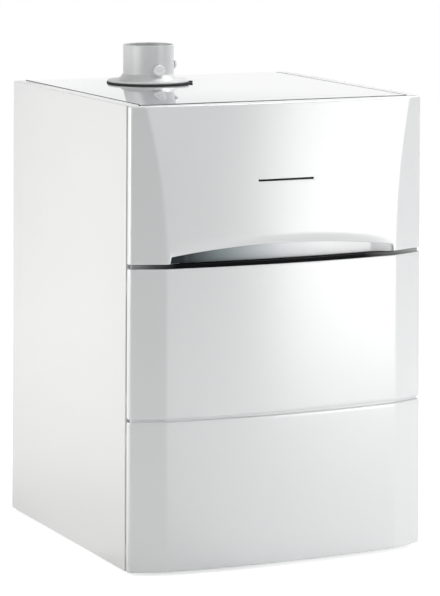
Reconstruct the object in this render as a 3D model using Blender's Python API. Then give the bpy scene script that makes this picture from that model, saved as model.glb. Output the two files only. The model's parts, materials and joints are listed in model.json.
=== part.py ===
# Floor standing condensing gas boiler, built as separate pieces. Metres, +Z up.
# The origin is on the floor, under the middle of the casing. The front faces -Y.

import math

import bmesh
import bpy
from mathutils import Vector

# Driving dimensions of the casing
casing_width = 0.600
casing_top = 0.850
casing_bottom = 0.006
side_depth = 0.570
front_bow = 0.0537
fit_gap = 0.0003
sheet = 0.0012
cut_over = 0.004

# Side panels: folded sheet, open towards the inside
side_flange = 0.025
side_edge_radius = 0.0025
fold_share = 0.5

# Outline of the front, seen from above: measured forward from the side panels' front edges
front_gap = 0.004
front_inset = 0.0015
corner_inset = 0.0075
corner_y = 0.0167
corner_start_y = 0.0085
crease_inset = 0.0658
crease_y = 0.0381
bow_steps = 10
panel_wall = 0.0025
panel_edge = 0.002

# Heights of the three front panels
panel_seam = 0.005
clip_inset = 0.025
clip_height = 0.020
clip_width = 0.012
clip_root = 0.008
lower_panel_top = 0.2775
flap_height = 0.286
flap_slot = 0.008
flap_drop = 0.0015

# Control flap: its creases spread towards the top, and its face leans back a little
crease_flare = 0.0365
flap_bow_top = 0.0435
flap_rows = 7
recess_end_height = 0.0117
recess_mid_height = 0.0291
recess_depth = 0.020
recess_end_depth = 0.004
recess_ramp = 0.0472
recess_wall_step = 0.0012
slit_length = 0.113
slit_height = 0.004
slit_drop = 0.142
window_flange = 0.004
window_thick = 0.0015

# Flap hinge: pins near the top, in brackets on the upper crossbar
hinge_forward = 0.011
hinge_drop = 0.007
hinge_pin_radius = 0.0015
hinge_eye_radius = 0.0032
hinge_bracket_thick = 0.003
hinge_bracket_inset = 0.0305
hinge_bracket_drop = 0.016
hinge_arm = 0.006

# Top cover and its collar hole
cover_gap = 0.003
cover_front_setback = 0.002
cover_flange = 0.016
collar_x = -0.070
collar_rear_inset = 0.140
collar_hole_radius = 0.0535

# Flue collar: outer air tube with a flare and a flange, inner flue tube, gasket and test ports
collar_height = 0.0755
collar_radius = 0.050
collar_wall = 0.0025
collar_flange_radius = 0.0805
collar_flange_thick = 0.0035
collar_flare_radius = 0.060
collar_flare_height = 0.011
collar_bead = 0.0012
collar_steps = 40
gasket_radius = 0.0820
gasket_thick = 0.0022
flue_radius = 0.030
flue_wall = 0.0015
port_radius = 0.0105
port_reach = 0.0048
port_bore_radius = 0.006
front_port_height = 0.027
side_port_height = 0.037
cap_thick = 0.004
cap_rim = 0.001
port_steps = 16

# Base tray, corner posts, crossbar and back panel
tray_sheet = 0.0015
tray_height = 0.030
tray_lift = 0.0005
tray_side_gap = 0.0010
post_size = 0.022
post_wall = 0.002
crossbar_height = 0.030
crossbar_depth = 0.018
back_panel_bottom = 0.290

# Levelling feet
foot_side_inset = 0.048
foot_inset = 0.050
foot_radius = 0.017
foot_thick = 0.0052
foot_stem_radius = 0.005
foot_stem_top = 0.040
foot_boss_radius = 0.009
foot_boss_height = 0.014
foot_running_gap = 0.0004
foot_steps = 16

# Places inside the casing: setbacks run back from the side panels' front edges, insets in from the
# casing's sides and rear, drops down from its top
# Heat exchanger, cast with ribs on its front and gas passages through it
exchanger_setback = 0.230
exchanger_left_inset = 0.140
exchanger_right_inset = 0.250
exchanger_rear_inset = 0.185
exchanger_bottom = 0.200
exchanger_drop = 0.290
rib_count = 9
rib_depth = 0.008
passage_count = 4
passage_share = 0.343
passage_margin = 0.020

# Condensate sump under the exchanger, on four legs, with its siphon and hose
sump_border = 0.010
sump_height = 0.050
sump_wall = 0.003
sump_rear_inset = 0.095
sump_rim = 0.006
sump_leg = 0.020
siphon_setback = 0.260
siphon_radius = 0.030
siphon_neck_radius = 0.020
siphon_height = 0.090
siphon_neck_height = 0.012
siphon_bore_radius = 0.012
siphon_nipple_reach = 0.012
hose_radius = 0.010
hose_wall = 0.002
hose_bend = 0.022
hose_x = 0.020
hose_z = 0.095

# Burner and hood
burner_thick = 0.003
burner_slot_count = 6
burner_slot_width = 0.006
hood_height = 0.060
hood_wall = 0.0025
electrode_radius = 0.006
electrode_length = 0.034
electrode_drop = 0.030

# Combustion fan: scroll housing, impeller with its shaft, motor, venturi
fan_flue_spacing = 0.1225
fan_height = 0.092
fan_width = 0.050
fan_wall = 0.003
scroll_radius = 0.062
scroll_growth = 0.018
scroll_outlet = 0.060
scroll_steps = 16
fan_inlet_radius = 0.030
fan_shaft_radius = 0.004
fan_shaft_gap = 0.0005
impeller_radius = 0.052
impeller_hub_radius = 0.012
impeller_width = 0.034
impeller_blades = 14
blade_thick = 0.003
motor_radius = 0.035
motor_length = 0.045
motor_bore_depth = 0.010
venturi_length = 0.060
venturi_mouth_radius = 0.028
venturi_throat_radius = 0.018
venturi_wall = 0.003
venturi_flange_radius = 0.040
venturi_flange_thick = 0.004

# Gas valve and air intake
valve_width = 0.045
valve_depth = 0.067
valve_height = 0.060
valve_end_gap = 0.010
valve_nozzle_radius = 0.008
coil_radius = 0.014
coil_height = 0.028
silencer_radius = 0.026
silencer_wall = 0.002
silencer_bend = 0.036
silencer_reach = 0.070
silencer_rear_inset = 0.120

# Pump, with its outlet pipe
pump_inset = 0.190
pump_z = 0.130
pump_setback = 0.100
pump_can_radius = 0.040
pump_can_length = 0.065
pump_volute_radius = 0.046
pump_volute_length = 0.034
pump_wall = 0.005
pump_inlet_length = 0.012
pump_outlet_top = 0.180
water_pipe_radius = 0.014
water_pipe_wall = 0.0015
water_pipe_bend = 0.030
pump_wheel_radius = 0.034
pump_wheel_hub_radius = 0.008
pump_wheel_width = 0.016
pump_wheel_blades = 7
exchanger_return_height = 0.070
exchanger_flow_drop = 0.040
flow_pipe_inset = 0.195
flow_rear_inset = 0.112
flow_exit_z = 0.215
pipe_steps = 12
pipe_end_inset = 0.002

# Expansion vessel, held by its stud on the right side panel
vessel_radius = 0.140
vessel_thick = 0.090
vessel_inset = 0.090
vessel_z = 0.210
vessel_stud_radius = 0.010
vessel_wall = 0.002
vessel_steps = 24

# Safety valve on the flow pipe
relief_radius = 0.012
relief_height = 0.035
relief_cap_radius = 0.015
relief_cap_height = 0.014

# Gas supply: cock with lever, pipe to the valve
gas_inset = 0.085
gas_z = 0.250
gas_pipe_radius = 0.009
gas_pipe_bend = 0.024
gas_rise_drop = 0.0659
cock_rear_inset = 0.120
cock_radius = 0.016
cock_length = 0.045
cock_stem_radius = 0.006
cock_stem_height = 0.022
lever_length = 0.050
lever_width = 0.012
lever_thick = 0.004

# Controls behind the flap; reaches and setbacks are taken from the fascia's front face
fascia_setback = 0.020
fascia_thick = 0.004
fascia_drop = 0.270
control_drop = 0.145
display_x = -0.060
display_width = 0.120
display_height = 0.060
key_spacing = 0.040
key_width = 0.022
key_height = 0.010
key_drop = 0.050
key_reach = 0.004
key_gap = 0.0005
knob_x = 0.070
knob_radius = 0.019
knob_start = 0.001
knob_reach = 0.016
knob_shaft_radius = 0.003
knob_shaft_end = 0.014
knob_grooves = 16
knob_groove_share = 0.93
switch_inset = 0.110
switch_width = 0.018
switch_half = 0.013
switch_rear_half = 0.008
switch_ridge = 0.005
switch_dip = 0.002
switch_pivot = 0.002
switch_behind = 0.007
switch_clearance = 0.0015
gauge_inset = 0.125
gauge_radius = 0.021
gauge_bezel_radius = 0.025
gauge_bezel_rim = 0.003
gauge_bezel_reach = 0.006
gauge_recess = 0.003
gauge_behind = 0.016
needle_length = 0.017
needle_hub_radius = 0.0025
needle_lift = 0.0004
needle_thick = 0.0009
board_inset = 0.085
board_setback = 0.024
board_thick = 0.0016
board_drop = 0.060
board_height = 0.190
spacer_radius = 0.004
spacer_inset = 0.010
relay_size = 0.020
relay_inset = 0.095
relay_rise = 0.050

front_edge = -(side_depth + front_bow) / 2 + front_bow
rear_edge = front_edge + side_depth
half_width = casing_width / 2
corner_x = half_width - corner_inset
crease_x = half_width - crease_inset
recess_flat_x = crease_x - recess_ramp
hinge_bracket_x = half_width - hinge_bracket_inset
foot_x = half_width - foot_side_inset
flap_top = casing_top - flap_drop
flap_bottom = flap_top - flap_height
middle_panel_top = flap_bottom - flap_slot
slit_z = casing_top - slit_drop


def clear_scene():
    for item in list(bpy.data.objects):
        bpy.data.objects.remove(item, do_unlink=True)


def make_material(name, colour, roughness, metallic=0.0):
    material = bpy.data.materials.new(name)
    material.use_nodes = True
    shader = material.node_tree.nodes["Principled BSDF"]
    shader.inputs["Base Color"].default_value = (*colour, 1.0)
    shader.inputs["Roughness"].default_value = roughness
    shader.inputs["Metallic"].default_value = metallic
    return material


clear_scene()
white_paint = make_material("white_paint", (0.83, 0.84, 0.84), 0.28)
white_plastic = make_material("white_plastic", (0.80, 0.81, 0.81), 0.35)
grey_plastic = make_material("grey_plastic", (0.42, 0.44, 0.46), 0.45)
dark_plastic = make_material("dark_plastic", (0.05, 0.05, 0.055), 0.40)
black_rubber = make_material("black_rubber", (0.02, 0.02, 0.02), 0.75)
galvanised = make_material("galvanised", (0.55, 0.57, 0.58), 0.45, 0.9)
cast_aluminium = make_material("cast_aluminium", (0.60, 0.61, 0.62), 0.55, 0.9)
cast_iron = make_material("cast_iron", (0.10, 0.11, 0.12), 0.60, 0.4)
copper = make_material("copper", (0.72, 0.36, 0.22), 0.35, 1.0)
brass = make_material("brass", (0.70, 0.52, 0.25), 0.35, 1.0)
steel = make_material("steel", (0.60, 0.60, 0.61), 0.30, 1.0)
red_paint = make_material("red_paint", (0.50, 0.04, 0.03), 0.40)
red_plastic = make_material("red_plastic", (0.60, 0.05, 0.04), 0.40)
yellow_plastic = make_material("yellow_plastic", (0.75, 0.55, 0.05), 0.40)
yellow_paint = make_material("yellow_paint", (0.75, 0.55, 0.05), 0.40)
display_glass = make_material("display_glass", (0.03, 0.05, 0.08), 0.10)
circuit_green = make_material("circuit_green", (0.02, 0.16, 0.07), 0.50)


def add_object(name, shape, material, origin=(0, 0, 0), round_shape=False):
    # The shape is drawn in place; the object's origin then moves to the given point
    bmesh.ops.translate(shape, verts=shape.verts, vec=-Vector(origin))
    mesh = bpy.data.meshes.new(name)
    shape.to_mesh(mesh)
    shape.free()
    mesh.materials.append(material)
    if round_shape:
        mesh.shade_smooth()
        mesh.set_sharp_from_angle(angle=math.radians(35))
    item = bpy.data.objects.new(name, mesh)
    item.location = origin
    bpy.context.scene.collection.objects.link(item)
    return item


def box_shape(low, high, shape=None):
    shape = shape or bmesh.new()
    corners = []
    for z in (low[2], high[2]):
        for x, y in ((low[0], low[1]), (high[0], low[1]), (high[0], high[1]), (low[0], high[1])):
            corners.append(shape.verts.new((x, y, z)))
    bottom, top = corners[:4], corners[4:]
    shape.faces.new(bottom[::-1])
    shape.faces.new(top)
    for i in range(4):
        j = (i + 1) % 4
        shape.faces.new((bottom[i], bottom[j], top[j], top[i]))
    return shape


def prism_shape(outline, low, high, axis="z", shape=None):
    # Extrudes a closed outline of (a, b) points; for x: a=y, b=z, for y: a=x, b=z, for z: a=x, b=y
    shape = shape or bmesh.new()
    place = {
        "x": lambda a, b, c: (c, a, b),
        "y": lambda a, b, c: (a, c, b),
        "z": lambda a, b, c: (a, b, c),
    }[axis]
    first = [shape.verts.new(place(a, b, low)) for a, b in outline]
    last = [shape.verts.new(place(a, b, high)) for a, b in outline]
    faces = [shape.faces.new(first), shape.faces.new(last[::-1])]
    for i in range(len(outline)):
        j = (i + 1) % len(outline)
        faces.append(shape.faces.new((first[i], last[i], last[j], first[j])))
    bmesh.ops.recalc_face_normals(shape, faces=faces)
    return shape


def turned_shape(profile, centre, axis, steps, closed=False, shape=None):
    # Turns (radius, height) points about an axis. An open profile starts and ends at radius 0.
    shape = shape or bmesh.new()
    centre = Vector(centre)
    along = Vector(axis).normalized()
    across = Vector((0, 0, 1)) if abs(along.z) < math.sqrt(0.5) else Vector((1, 0, 0))
    across = (across - along * across.dot(along)).normalized()
    third = along.cross(across)
    rings = []
    for radius, height in profile:
        if radius == 0:
            rings.append([shape.verts.new(centre + along * height)])
            continue
        ring = []
        for i in range(steps):
            angle = math.tau * i / steps
            spoke = across * math.cos(angle) + third * math.sin(angle)
            ring.append(shape.verts.new(centre + along * height + spoke * radius))
        rings.append(ring)
    pairs = list(zip(rings, rings[1:]))
    if closed:
        pairs.append((rings[-1], rings[0]))
    faces = []
    for one, two in pairs:
        for i in range(steps):
            j = (i + 1) % steps
            corners = [one[i % len(one)], one[j % len(one)], two[j % len(two)], two[i % len(two)]]
            corners = list(dict.fromkeys(corners))
            if len(corners) > 2:
                faces.append(shape.faces.new(corners))
    bmesh.ops.recalc_face_normals(shape, faces=faces)
    return shape


def rod_shape(radius, centre, axis, length, steps, shape=None):
    profile = [(0, 0), (radius, 0), (radius, length), (0, length)]
    return turned_shape(profile, centre, axis, steps, shape=shape)


def ring_shape(inner, outer, centre, axis, length, steps, shape=None):
    profile = [(inner, 0), (outer, 0), (outer, length), (inner, length)]
    return turned_shape(profile, centre, axis, steps, closed=True, shape=shape)


def rounded_path(corners, bend, steps):
    # Replaces each corner of a path by an arc of the bend radius
    corners = [Vector(corner) for corner in corners]
    path = [corners[0]]
    for before, here, after in zip(corners, corners[1:], corners[2:]):
        back = (before - here).normalized()
        ahead = (after - here).normalized()
        half = back.angle(ahead) / 2
        start = here + back * bend / math.tan(half)
        middle = here + (back + ahead).normalized() * bend / math.sin(half)
        arm = start - middle
        side = (here + ahead * bend / math.tan(half)) - middle
        turn = arm.angle(side)
        for i in range(steps + 1):
            share = i / steps
            point = arm * math.sin(turn * (1 - share)) + side * math.sin(turn * share)
            path.append(middle + point / math.sin(turn))
    path.append(corners[-1])
    return path


def pipe_shape(path, radius, wall, steps, shape=None):
    # A tube swept along a path, open at both ends; a wall of zero gives a solid rod
    shape = shape or bmesh.new()
    path = [Vector(point) for point in path]
    heading = (path[1] - path[0]).normalized()
    across = heading.orthogonal().normalized()
    outer, inner = [], []
    for i, point in enumerate(path):
        ahead = (path[min(i + 1, len(path) - 1)] - point).normalized()
        behind = (point - path[max(i - 1, 0)]).normalized()
        now = (ahead + behind).normalized()
        across = (across - now * across.dot(now)).normalized()
        third = now.cross(across)
        ring = []
        for k in range(steps):
            angle = math.tau * k / steps
            ring.append(across * math.cos(angle) + third * math.sin(angle))
        outer.append([shape.verts.new(point + spoke * radius) for spoke in ring])
        if wall:
            inner.append([shape.verts.new(point + spoke * (radius - wall)) for spoke in ring])
    faces = []
    for rings in (outer, inner):
        for one, two in zip(rings, rings[1:]):
            for k in range(steps):
                m = (k + 1) % steps
                faces.append(shape.faces.new((one[k], one[m], two[m], two[k])))
    for end in (0, -1):
        if wall:
            for k in range(steps):
                m = (k + 1) % steps
                faces.append(shape.faces.new((outer[end][k], outer[end][m], inner[end][m], inner[end][k])))
        else:
            faces.append(shape.faces.new(outer[end]))
    bmesh.ops.recalc_face_normals(shape, faces=faces)
    return shape


def change(item, shape, operation):
    # Cuts a closed shape out of an object, or joins it on
    mesh = bpy.data.meshes.new(item.name + "_tool")
    shape.to_mesh(mesh)
    shape.free()
    tool = bpy.data.objects.new(item.name + "_tool", mesh)
    tool.hide_render = True
    tool.display_type = "WIRE"
    bpy.context.scene.collection.objects.link(tool)
    modifier = item.modifiers.new(operation.lower(), "BOOLEAN")
    modifier.operation = operation
    modifier.object = tool
    return item


def cut(item, shape):
    return change(item, shape, "DIFFERENCE")


def unite(item, shape):
    return change(item, shape, "UNION")


def folded_pan(name, low, high, open_sides, material, thickness, edge_radius=0.0):
    # A box of folded sheet with some sides left open; the sheet lies inside the box
    shape = box_shape(low, high)
    shape.normal_update()
    directions = {
        "-x": Vector((-1, 0, 0)), "+x": Vector((1, 0, 0)), "-y": Vector((0, -1, 0)),
        "+y": Vector((0, 1, 0)), "-z": Vector((0, 0, -1)), "+z": Vector((0, 0, 1)),
    }
    wanted = [directions[side] for side in open_sides]
    open_faces = [face for face in shape.faces if any(face.normal.dot(way) > 0.9 for way in wanted)]
    bmesh.ops.delete(shape, geom=open_faces, context="FACES")
    if edge_radius:
        folds = [edge for edge in shape.edges if len(edge.link_faces) == 2]
        bmesh.ops.bevel(
            shape, geom=folds, offset=edge_radius, segments=2, profile=fold_share,
            affect="EDGES", clamp_overlap=True,
        )
    item = add_object(name, shape, material)
    solid = item.modifiers.new("sheet", "SOLIDIFY")
    solid.thickness = thickness
    solid.offset = -1.0
    solid.use_even_offset = True
    return item


# The casing's front: outlines seen from above


def even_shares():
    return [-1 + 2 * i / bow_steps for i in range(bow_steps + 1)]


def front_outline(crease, middle, shares):
    # From the left rear edge, round the left corner, over both creases to the right rear edge
    facet_share = (corner_x - crease) / (corner_x - crease_x)
    crease_forward = corner_y + (crease_y - corner_y) * facet_share
    side_x = half_width - front_inset
    facet_slope = (crease_y - corner_y) / (corner_x - crease_x)
    knee = (side_x, corner_y - (side_x - corner_x) * facet_slope)
    start, end = (side_x, corner_start_y), (corner_x, corner_y)
    turn = [(start[k] + 2 * knee[k] + end[k]) / 4 for k in range(2)]
    left = [(-side_x, front_gap), (-start[0], start[1]), (-turn[0], turn[1]), (-end[0], end[1])]
    face = [(crease * s, crease_forward + (middle - crease_forward) * (1 - s * s)) for s in shares]
    right = [(-x, y) for x, y in reversed(left)]
    return [(x, front_edge - y) for x, y in left + face + right]


def offset_outline(points, distance):
    # Moves an open outline towards its left-hand side, with mitred corners
    moved = []
    for i, (x, y) in enumerate(points):
        normals = []
        for one, two in ((i - 1, i), (i, i + 1)):
            if one < 0 or two >= len(points):
                continue
            along = Vector((points[two][0] - points[one][0], points[two][1] - points[one][1])).normalized()
            normals.append(Vector((-along.y, along.x)))
        total = sum(normals, Vector((0, 0)))
        shift = total * (distance * len(normals) / total.dot(total))
        moved.append((x + shift.x, y + shift.y))
    return moved


def back_line(points):
    return [(x, front_edge - front_gap) for x, y in points]


def lofted_shell(name, outer, inner, material):
    # Closes an outer and an inner skin, each a list of rows of points, along their shared rim
    shape = bmesh.new()
    skins = [[[shape.verts.new(point) for point in row] for row in rows] for rows in (outer, inner)]
    for rows in skins:
        for one, two in zip(rows, rows[1:]):
            for i in range(len(one) - 1):
                shape.faces.new((one[i], one[i + 1], two[i + 1], two[i]))
    for end in (0, -1):
        first, second = skins[0][end], skins[1][end]
        for i in range(len(first) - 1):
            shape.faces.new((first[i], first[i + 1], second[i + 1], second[i]))
        column = [row[end] for row in skins[0]] + [row[end] for row in reversed(skins[1])]
        shape.faces.new(column)
    bmesh.ops.remove_doubles(shape, verts=shape.verts, dist=fit_gap / 100)
    bmesh.ops.dissolve_degenerate(shape, dist=fit_gap / 100, edges=shape.edges)
    bmesh.ops.recalc_face_normals(shape, faces=shape.faces)
    return add_object(name, shape, material, round_shape=False)


def at_height(points, z):
    return [(x, y, z) for x, y in points]


def front_panel(name, low, high):
    line = front_outline(crease_x, front_bow, even_shares())
    edge_line = offset_outline(line, panel_edge)
    inner_line = offset_outline(line, panel_wall)
    outer = [
        at_height(back_line(edge_line), low),
        at_height(edge_line, low),
        at_height(line, low + panel_edge),
        at_height(line, high - panel_edge),
        at_height(edge_line, high),
        at_height(back_line(edge_line), high),
    ]
    inner = [
        at_height(back_line(inner_line), low + panel_wall),
        at_height(inner_line, low + panel_wall),
        at_height(inner_line, high - panel_wall),
        at_height(back_line(inner_line), high - panel_wall),
    ]
    panel = lofted_shell(name, outer, inner, white_plastic)
    # Four clips reach back to the side panels' front flanges
    clip_outer = half_width - front_inset - panel_wall / 2
    for side in (-1, 1):
        for z in (low + clip_inset, high - clip_inset - clip_height):
            across = sorted((side * clip_outer, side * (clip_outer - clip_width)))
            unite(panel, box_shape(
                (across[0], front_edge - clip_root, z),
                (across[1], front_edge - fit_gap, z + clip_height),
            ))


def flap_share(z):
    return (z - flap_bottom) / (flap_top - flap_bottom)


def flap_line(z, shares):
    up = flap_share(z)
    crease = crease_x + crease_flare * up * up
    middle = front_bow + (flap_bow_top - front_bow) * up
    return front_outline(crease, middle, shares)


def arch_height(x):
    fall = recess_mid_height - recess_end_height
    return flap_bottom + recess_mid_height - fall * (x / crease_x) ** 2


def recess_reach(x):
    # How far the finger recess goes in at this place along the flap
    if abs(x) > crease_x - recess_wall_step / 2:
        return 0
    if abs(x) <= recess_flat_x:
        return recess_depth
    end_x = crease_x - recess_wall_step
    share = (end_x - abs(x)) / (end_x - recess_flat_x)
    return recess_end_depth + (recess_depth - recess_end_depth) * share


def control_flap():
    flat_share = recess_flat_x / crease_x
    wall_share = 1 - recess_wall_step / crease_x
    middle_shares = [flat_share * s for s in even_shares()]
    shares = [-1, -wall_share] + middle_shares + [wall_share, 1]
    line = flap_line(flap_bottom, shares)
    edge_line = offset_outline(line, panel_edge)
    inner_line = offset_outline(line, panel_wall)
    reach = [recess_reach(x) for x, y in line]
    arch = [arch_height(x) for x, y in line]
    end_z = flap_bottom + recess_end_height
    low_z = flap_bottom + panel_edge
    outer = [[], [], [], []]
    inner = [[], [], [], []]
    for i, (x, y) in enumerate(line):
        inner_x, inner_y = inner_line[i]
        floor_y = y + reach[i]
        rim_y = front_edge - front_gap
        if reach[i]:
            outer[0].append((x, rim_y, flap_bottom))
            outer[1].append((x, floor_y, flap_bottom))
            outer[2].append((x, floor_y, arch[i]))
            outer[3].append((x, y, arch[i]))
            inner[0].append((x, rim_y, flap_bottom + panel_wall))
            inner[1].append((x, floor_y + panel_wall, flap_bottom + panel_wall))
            inner[2].append((x, floor_y + panel_wall, arch[i] + panel_wall))
            inner[3].append((inner_x, inner_y, arch[i] + panel_wall))
        else:
            edge_x, edge_y = edge_line[i]
            outer[0].append((edge_x, rim_y, flap_bottom))
            outer[1].append((edge_x, edge_y, flap_bottom))
            outer[2].append((x, y, low_z))
            outer[3].append((x, y, end_z))
            inner[0].append((inner_x, rim_y, flap_bottom + panel_wall))
            inner[1].append((inner_x, inner_y, flap_bottom + panel_wall))
            inner[2].append((inner_x, inner_y, low_z + panel_wall))
            inner[3].append((inner_x, inner_y, end_z + panel_wall))
    first_z = flap_bottom + 2 * recess_mid_height - recess_end_height
    last_z = flap_top - panel_edge
    for i in range(flap_rows):
        z = first_z + (last_z - first_z) * i / (flap_rows - 1)
        row = flap_line(z, shares)
        outer.append(at_height(row, z))
        inner.append(at_height(offset_outline(row, panel_wall), min(z, flap_top - panel_wall)))
    top_line = flap_line(flap_top, shares)
    top_edge = offset_outline(top_line, panel_edge)
    top_inner = offset_outline(top_line, panel_wall)
    outer.append(at_height(top_edge, flap_top))
    outer.append(at_height(back_line(top_edge), flap_top))
    inner[-1] = at_height(top_inner, flap_top - panel_wall)
    inner.append(at_height(back_line(top_inner), flap_top - panel_wall))
    flap = lofted_shell("control_flap", outer, inner, white_plastic)
    slit = box_shape(
        (-slit_length / 2, front_edge - front_bow - cut_over, slit_z - slit_height / 2),
        (slit_length / 2, front_edge, slit_z + slit_height / 2),
    )
    cut(flap, slit)
    return flap


def face_line(z, reach, setback, count=4):
    # Points along the flap's face near its middle, a little behind the surface
    up = flap_share(z)
    crease = crease_x + crease_flare * up * up
    facet_share = (corner_x - crease) / (corner_x - crease_x)
    crease_forward = corner_y + (crease_y - corner_y) * facet_share
    middle = front_bow + (flap_bow_top - front_bow) * up
    points = []
    for i in range(-count, count + 1):
        x = reach * i / count
        forward = crease_forward + (middle - crease_forward) * (1 - (x / crease) ** 2)
        points.append((x, front_edge - forward + setback))
    return points


def status_window():
    flange_top = slit_z + slit_height / 2 + window_flange
    bar_reach = slit_length / 2 - fit_gap
    bar_front = face_line(slit_z, bar_reach, slit_height / 8)
    behind = panel_wall + 2 * fit_gap
    bar_back = face_line(flange_top, bar_reach, behind + window_thick / 2)
    bar_half = slit_height / 2 - fit_gap
    shape = prism_shape(bar_front + bar_back[::-1], slit_z - bar_half, slit_z + bar_half)
    window = add_object("status_light_window", shape, dark_plastic)
    flange_reach = slit_length / 2 + window_flange
    flange_front = face_line(flange_top, flange_reach, behind)
    flange_back = face_line(flange_top, flange_reach, behind + window_thick)
    outline = flange_front + flange_back[::-1]
    unite(window, prism_shape(outline, slit_z - slit_height / 2 - window_flange, flange_top))
    return window


hinge_y = front_edge - hinge_forward
hinge_z = flap_top - hinge_drop
lug_radius = hinge_drop - panel_wall - fit_gap
crossbar_top = casing_top - cover_flange - fit_gap
crossbar_front = front_edge + sheet + fit_gap


def flap_hinge(side, name):
    # The bracket stands on the crossbar, the lug hangs under the flap's top, the pin joins them
    bracket_out = side * hinge_bracket_x
    bracket_in = side * (hinge_bracket_x - hinge_bracket_thick)
    outline = []
    for i in range(9):
        angle = math.pi * i / 8
        outline.append((hinge_y - hinge_eye_radius * math.cos(angle),
                        hinge_z + hinge_eye_radius * math.sin(angle)))
    foot_z = hinge_z - hinge_bracket_drop
    outline.append((hinge_y + hinge_eye_radius, foot_z + hinge_arm))
    outline.append((crossbar_front - fit_gap, foot_z + hinge_arm))
    outline.append((crossbar_front - fit_gap, foot_z))
    outline.append((hinge_y - hinge_eye_radius, foot_z))
    low, high = sorted((bracket_in, bracket_out))
    bracket = add_object("hinge_bracket_" + name, prism_shape(outline, low, high, "x"), galvanised)
    hole = rod_shape(
        hinge_pin_radius + fit_gap, (low - cut_over, hinge_y, hinge_z), (1, 0, 0),
        high - low + 2 * cut_over, 12,
    )
    cut(bracket, hole)
    lug_start = hinge_bracket_x + 2 * fit_gap
    lug_end = lug_start + hinge_bracket_thick
    pin_start = hinge_bracket_x - hinge_bracket_thick - hinge_pin_radius
    pin = rod_shape(
        hinge_pin_radius, (side * pin_start, hinge_y, hinge_z), (side, 0, 0), lug_end - pin_start, 12
    )
    add_object("flap_hinge_pin_" + name, pin, steel, (0, hinge_y, hinge_z), True)
    low, high = sorted((side * lug_start, side * lug_end))
    lug = box_shape(
        (low, hinge_y - lug_radius, hinge_z - lug_radius),
        (high, hinge_y + lug_radius, flap_top - panel_wall / 2),
    )
    unite(flap, lug)
    bore = rod_shape(
        hinge_pin_radius + fit_gap, (low - cut_over / 4, hinge_y, hinge_z), (1, 0, 0),
        high - low + cut_over / 2, 12,
    )
    cut(flap, bore)


flap = control_flap()
status_window()
flap_hinge(-1, "left")
flap_hinge(1, "right")
front_panel("middle_front_panel", lower_panel_top + panel_seam, middle_panel_top)
front_panel("lower_front_panel", casing_bottom, lower_panel_top)


# Casing sheets, posts and tray


def side_panel(name, side):
    low_x, high_x = sorted((side * half_width, side * (half_width - side_flange)))
    folded_pan(
        name, (low_x, front_edge, casing_bottom), (high_x, rear_edge, casing_top),
        ["+x" if side < 0 else "-x"], white_paint, sheet, side_edge_radius,
    )


side_panel("side_panel_left", -1)
side_panel("side_panel_right", 1)

cover_half = half_width - side_flange - cover_gap
cover = folded_pan(
    "top_cover", (-cover_half, front_edge + cover_front_setback, casing_top - cover_flange),
    (cover_half, rear_edge, casing_top), ["-z", "-y"], white_paint, sheet,
)
collar_y = rear_edge - collar_rear_inset
cut(cover, rod_shape(
    collar_hole_radius, (collar_x, collar_y, casing_top - cover_flange / 2), (0, 0, 1),
    cover_flange, collar_steps,
))

tray_out = half_width - sheet - tray_side_gap
tray_front = front_edge + sheet + tray_side_gap
tray_rear = rear_edge - sheet - tray_side_gap
tray_bottom = casing_bottom + sheet + tray_lift
tray_floor = tray_bottom + tray_sheet
tray = folded_pan(
    "base_tray", (-tray_out, tray_front, tray_bottom), (tray_out, tray_rear, tray_bottom + tray_height),
    ["+z"], galvanised, tray_sheet,
)


def corner_post(name, side, end, top):
    # An angle section standing in the tray's corner
    x = side * (tray_out - tray_sheet - fit_gap)
    y = (tray_front + tray_sheet + fit_gap) if end < 0 else (tray_rear - tray_sheet - fit_gap)
    inside_x, inside_y = -side, -end
    outline = [
        (x, y),
        (x + inside_x * post_size, y),
        (x + inside_x * post_size, y + inside_y * post_wall),
        (x + inside_x * post_wall, y + inside_y * post_wall),
        (x + inside_x * post_wall, y + inside_y * post_size),
        (x, y + inside_y * post_size),
    ]
    add_object(name, prism_shape(outline, tray_floor + fit_gap, top), galvanised)


crossbar_bottom = crossbar_top - crossbar_height
for side, side_name in ((-1, "left"), (1, "right")):
    corner_post("corner_post_front_" + side_name, side, -1, crossbar_bottom - fit_gap)
    corner_post("corner_post_rear_" + side_name, side, 1, casing_top - sheet - fit_gap)

folded_pan(
    "upper_crossbar", (-tray_out, crossbar_front, crossbar_bottom),
    (tray_out, crossbar_front + crossbar_depth, crossbar_top), ["+y"], galvanised, tray_sheet,
)

back_y = tray_rear - tray_sheet - fit_gap - post_size - fit_gap
back_half = tray_out - tray_sheet - fit_gap
# The pipes leave under the back panel
add_object("back_panel", box_shape(
    (-back_half, back_y - sheet, back_panel_bottom),
    (back_half, back_y, casing_top - cover_flange - fit_gap),
), galvanised)


def levelling_foot(name, x, y):
    centre = (x, y, 0)
    boss = rod_shape(
        foot_boss_radius, (x, y, tray_floor - tray_sheet / 2), (0, 0, 1), foot_boss_height, foot_steps
    )
    unite(tray, boss)
    bore = rod_shape(
        foot_stem_radius + foot_running_gap, (x, y, tray_bottom - cut_over), (0, 0, 1),
        foot_boss_height + 3 * cut_over, foot_steps,
    )
    cut(tray, bore)
    profile = [
        (0, 0), (foot_radius, 0), (foot_radius, foot_thick * 0.7), (foot_radius * 0.8, foot_thick),
        (foot_stem_radius, foot_thick), (foot_stem_radius, foot_stem_top), (0, foot_stem_top),
    ]
    add_object(name, turned_shape(profile, centre, (0, 0, 1), foot_steps), black_rubber, centre, True)


for side, side_name in ((-1, "left"), (1, "right")):
    levelling_foot("levelling_foot_front_" + side_name, side * foot_x, front_edge + foot_inset)
    levelling_foot("levelling_foot_rear_" + side_name, side * foot_x, rear_edge - foot_inset)


# Flue collar on the top cover


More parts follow.
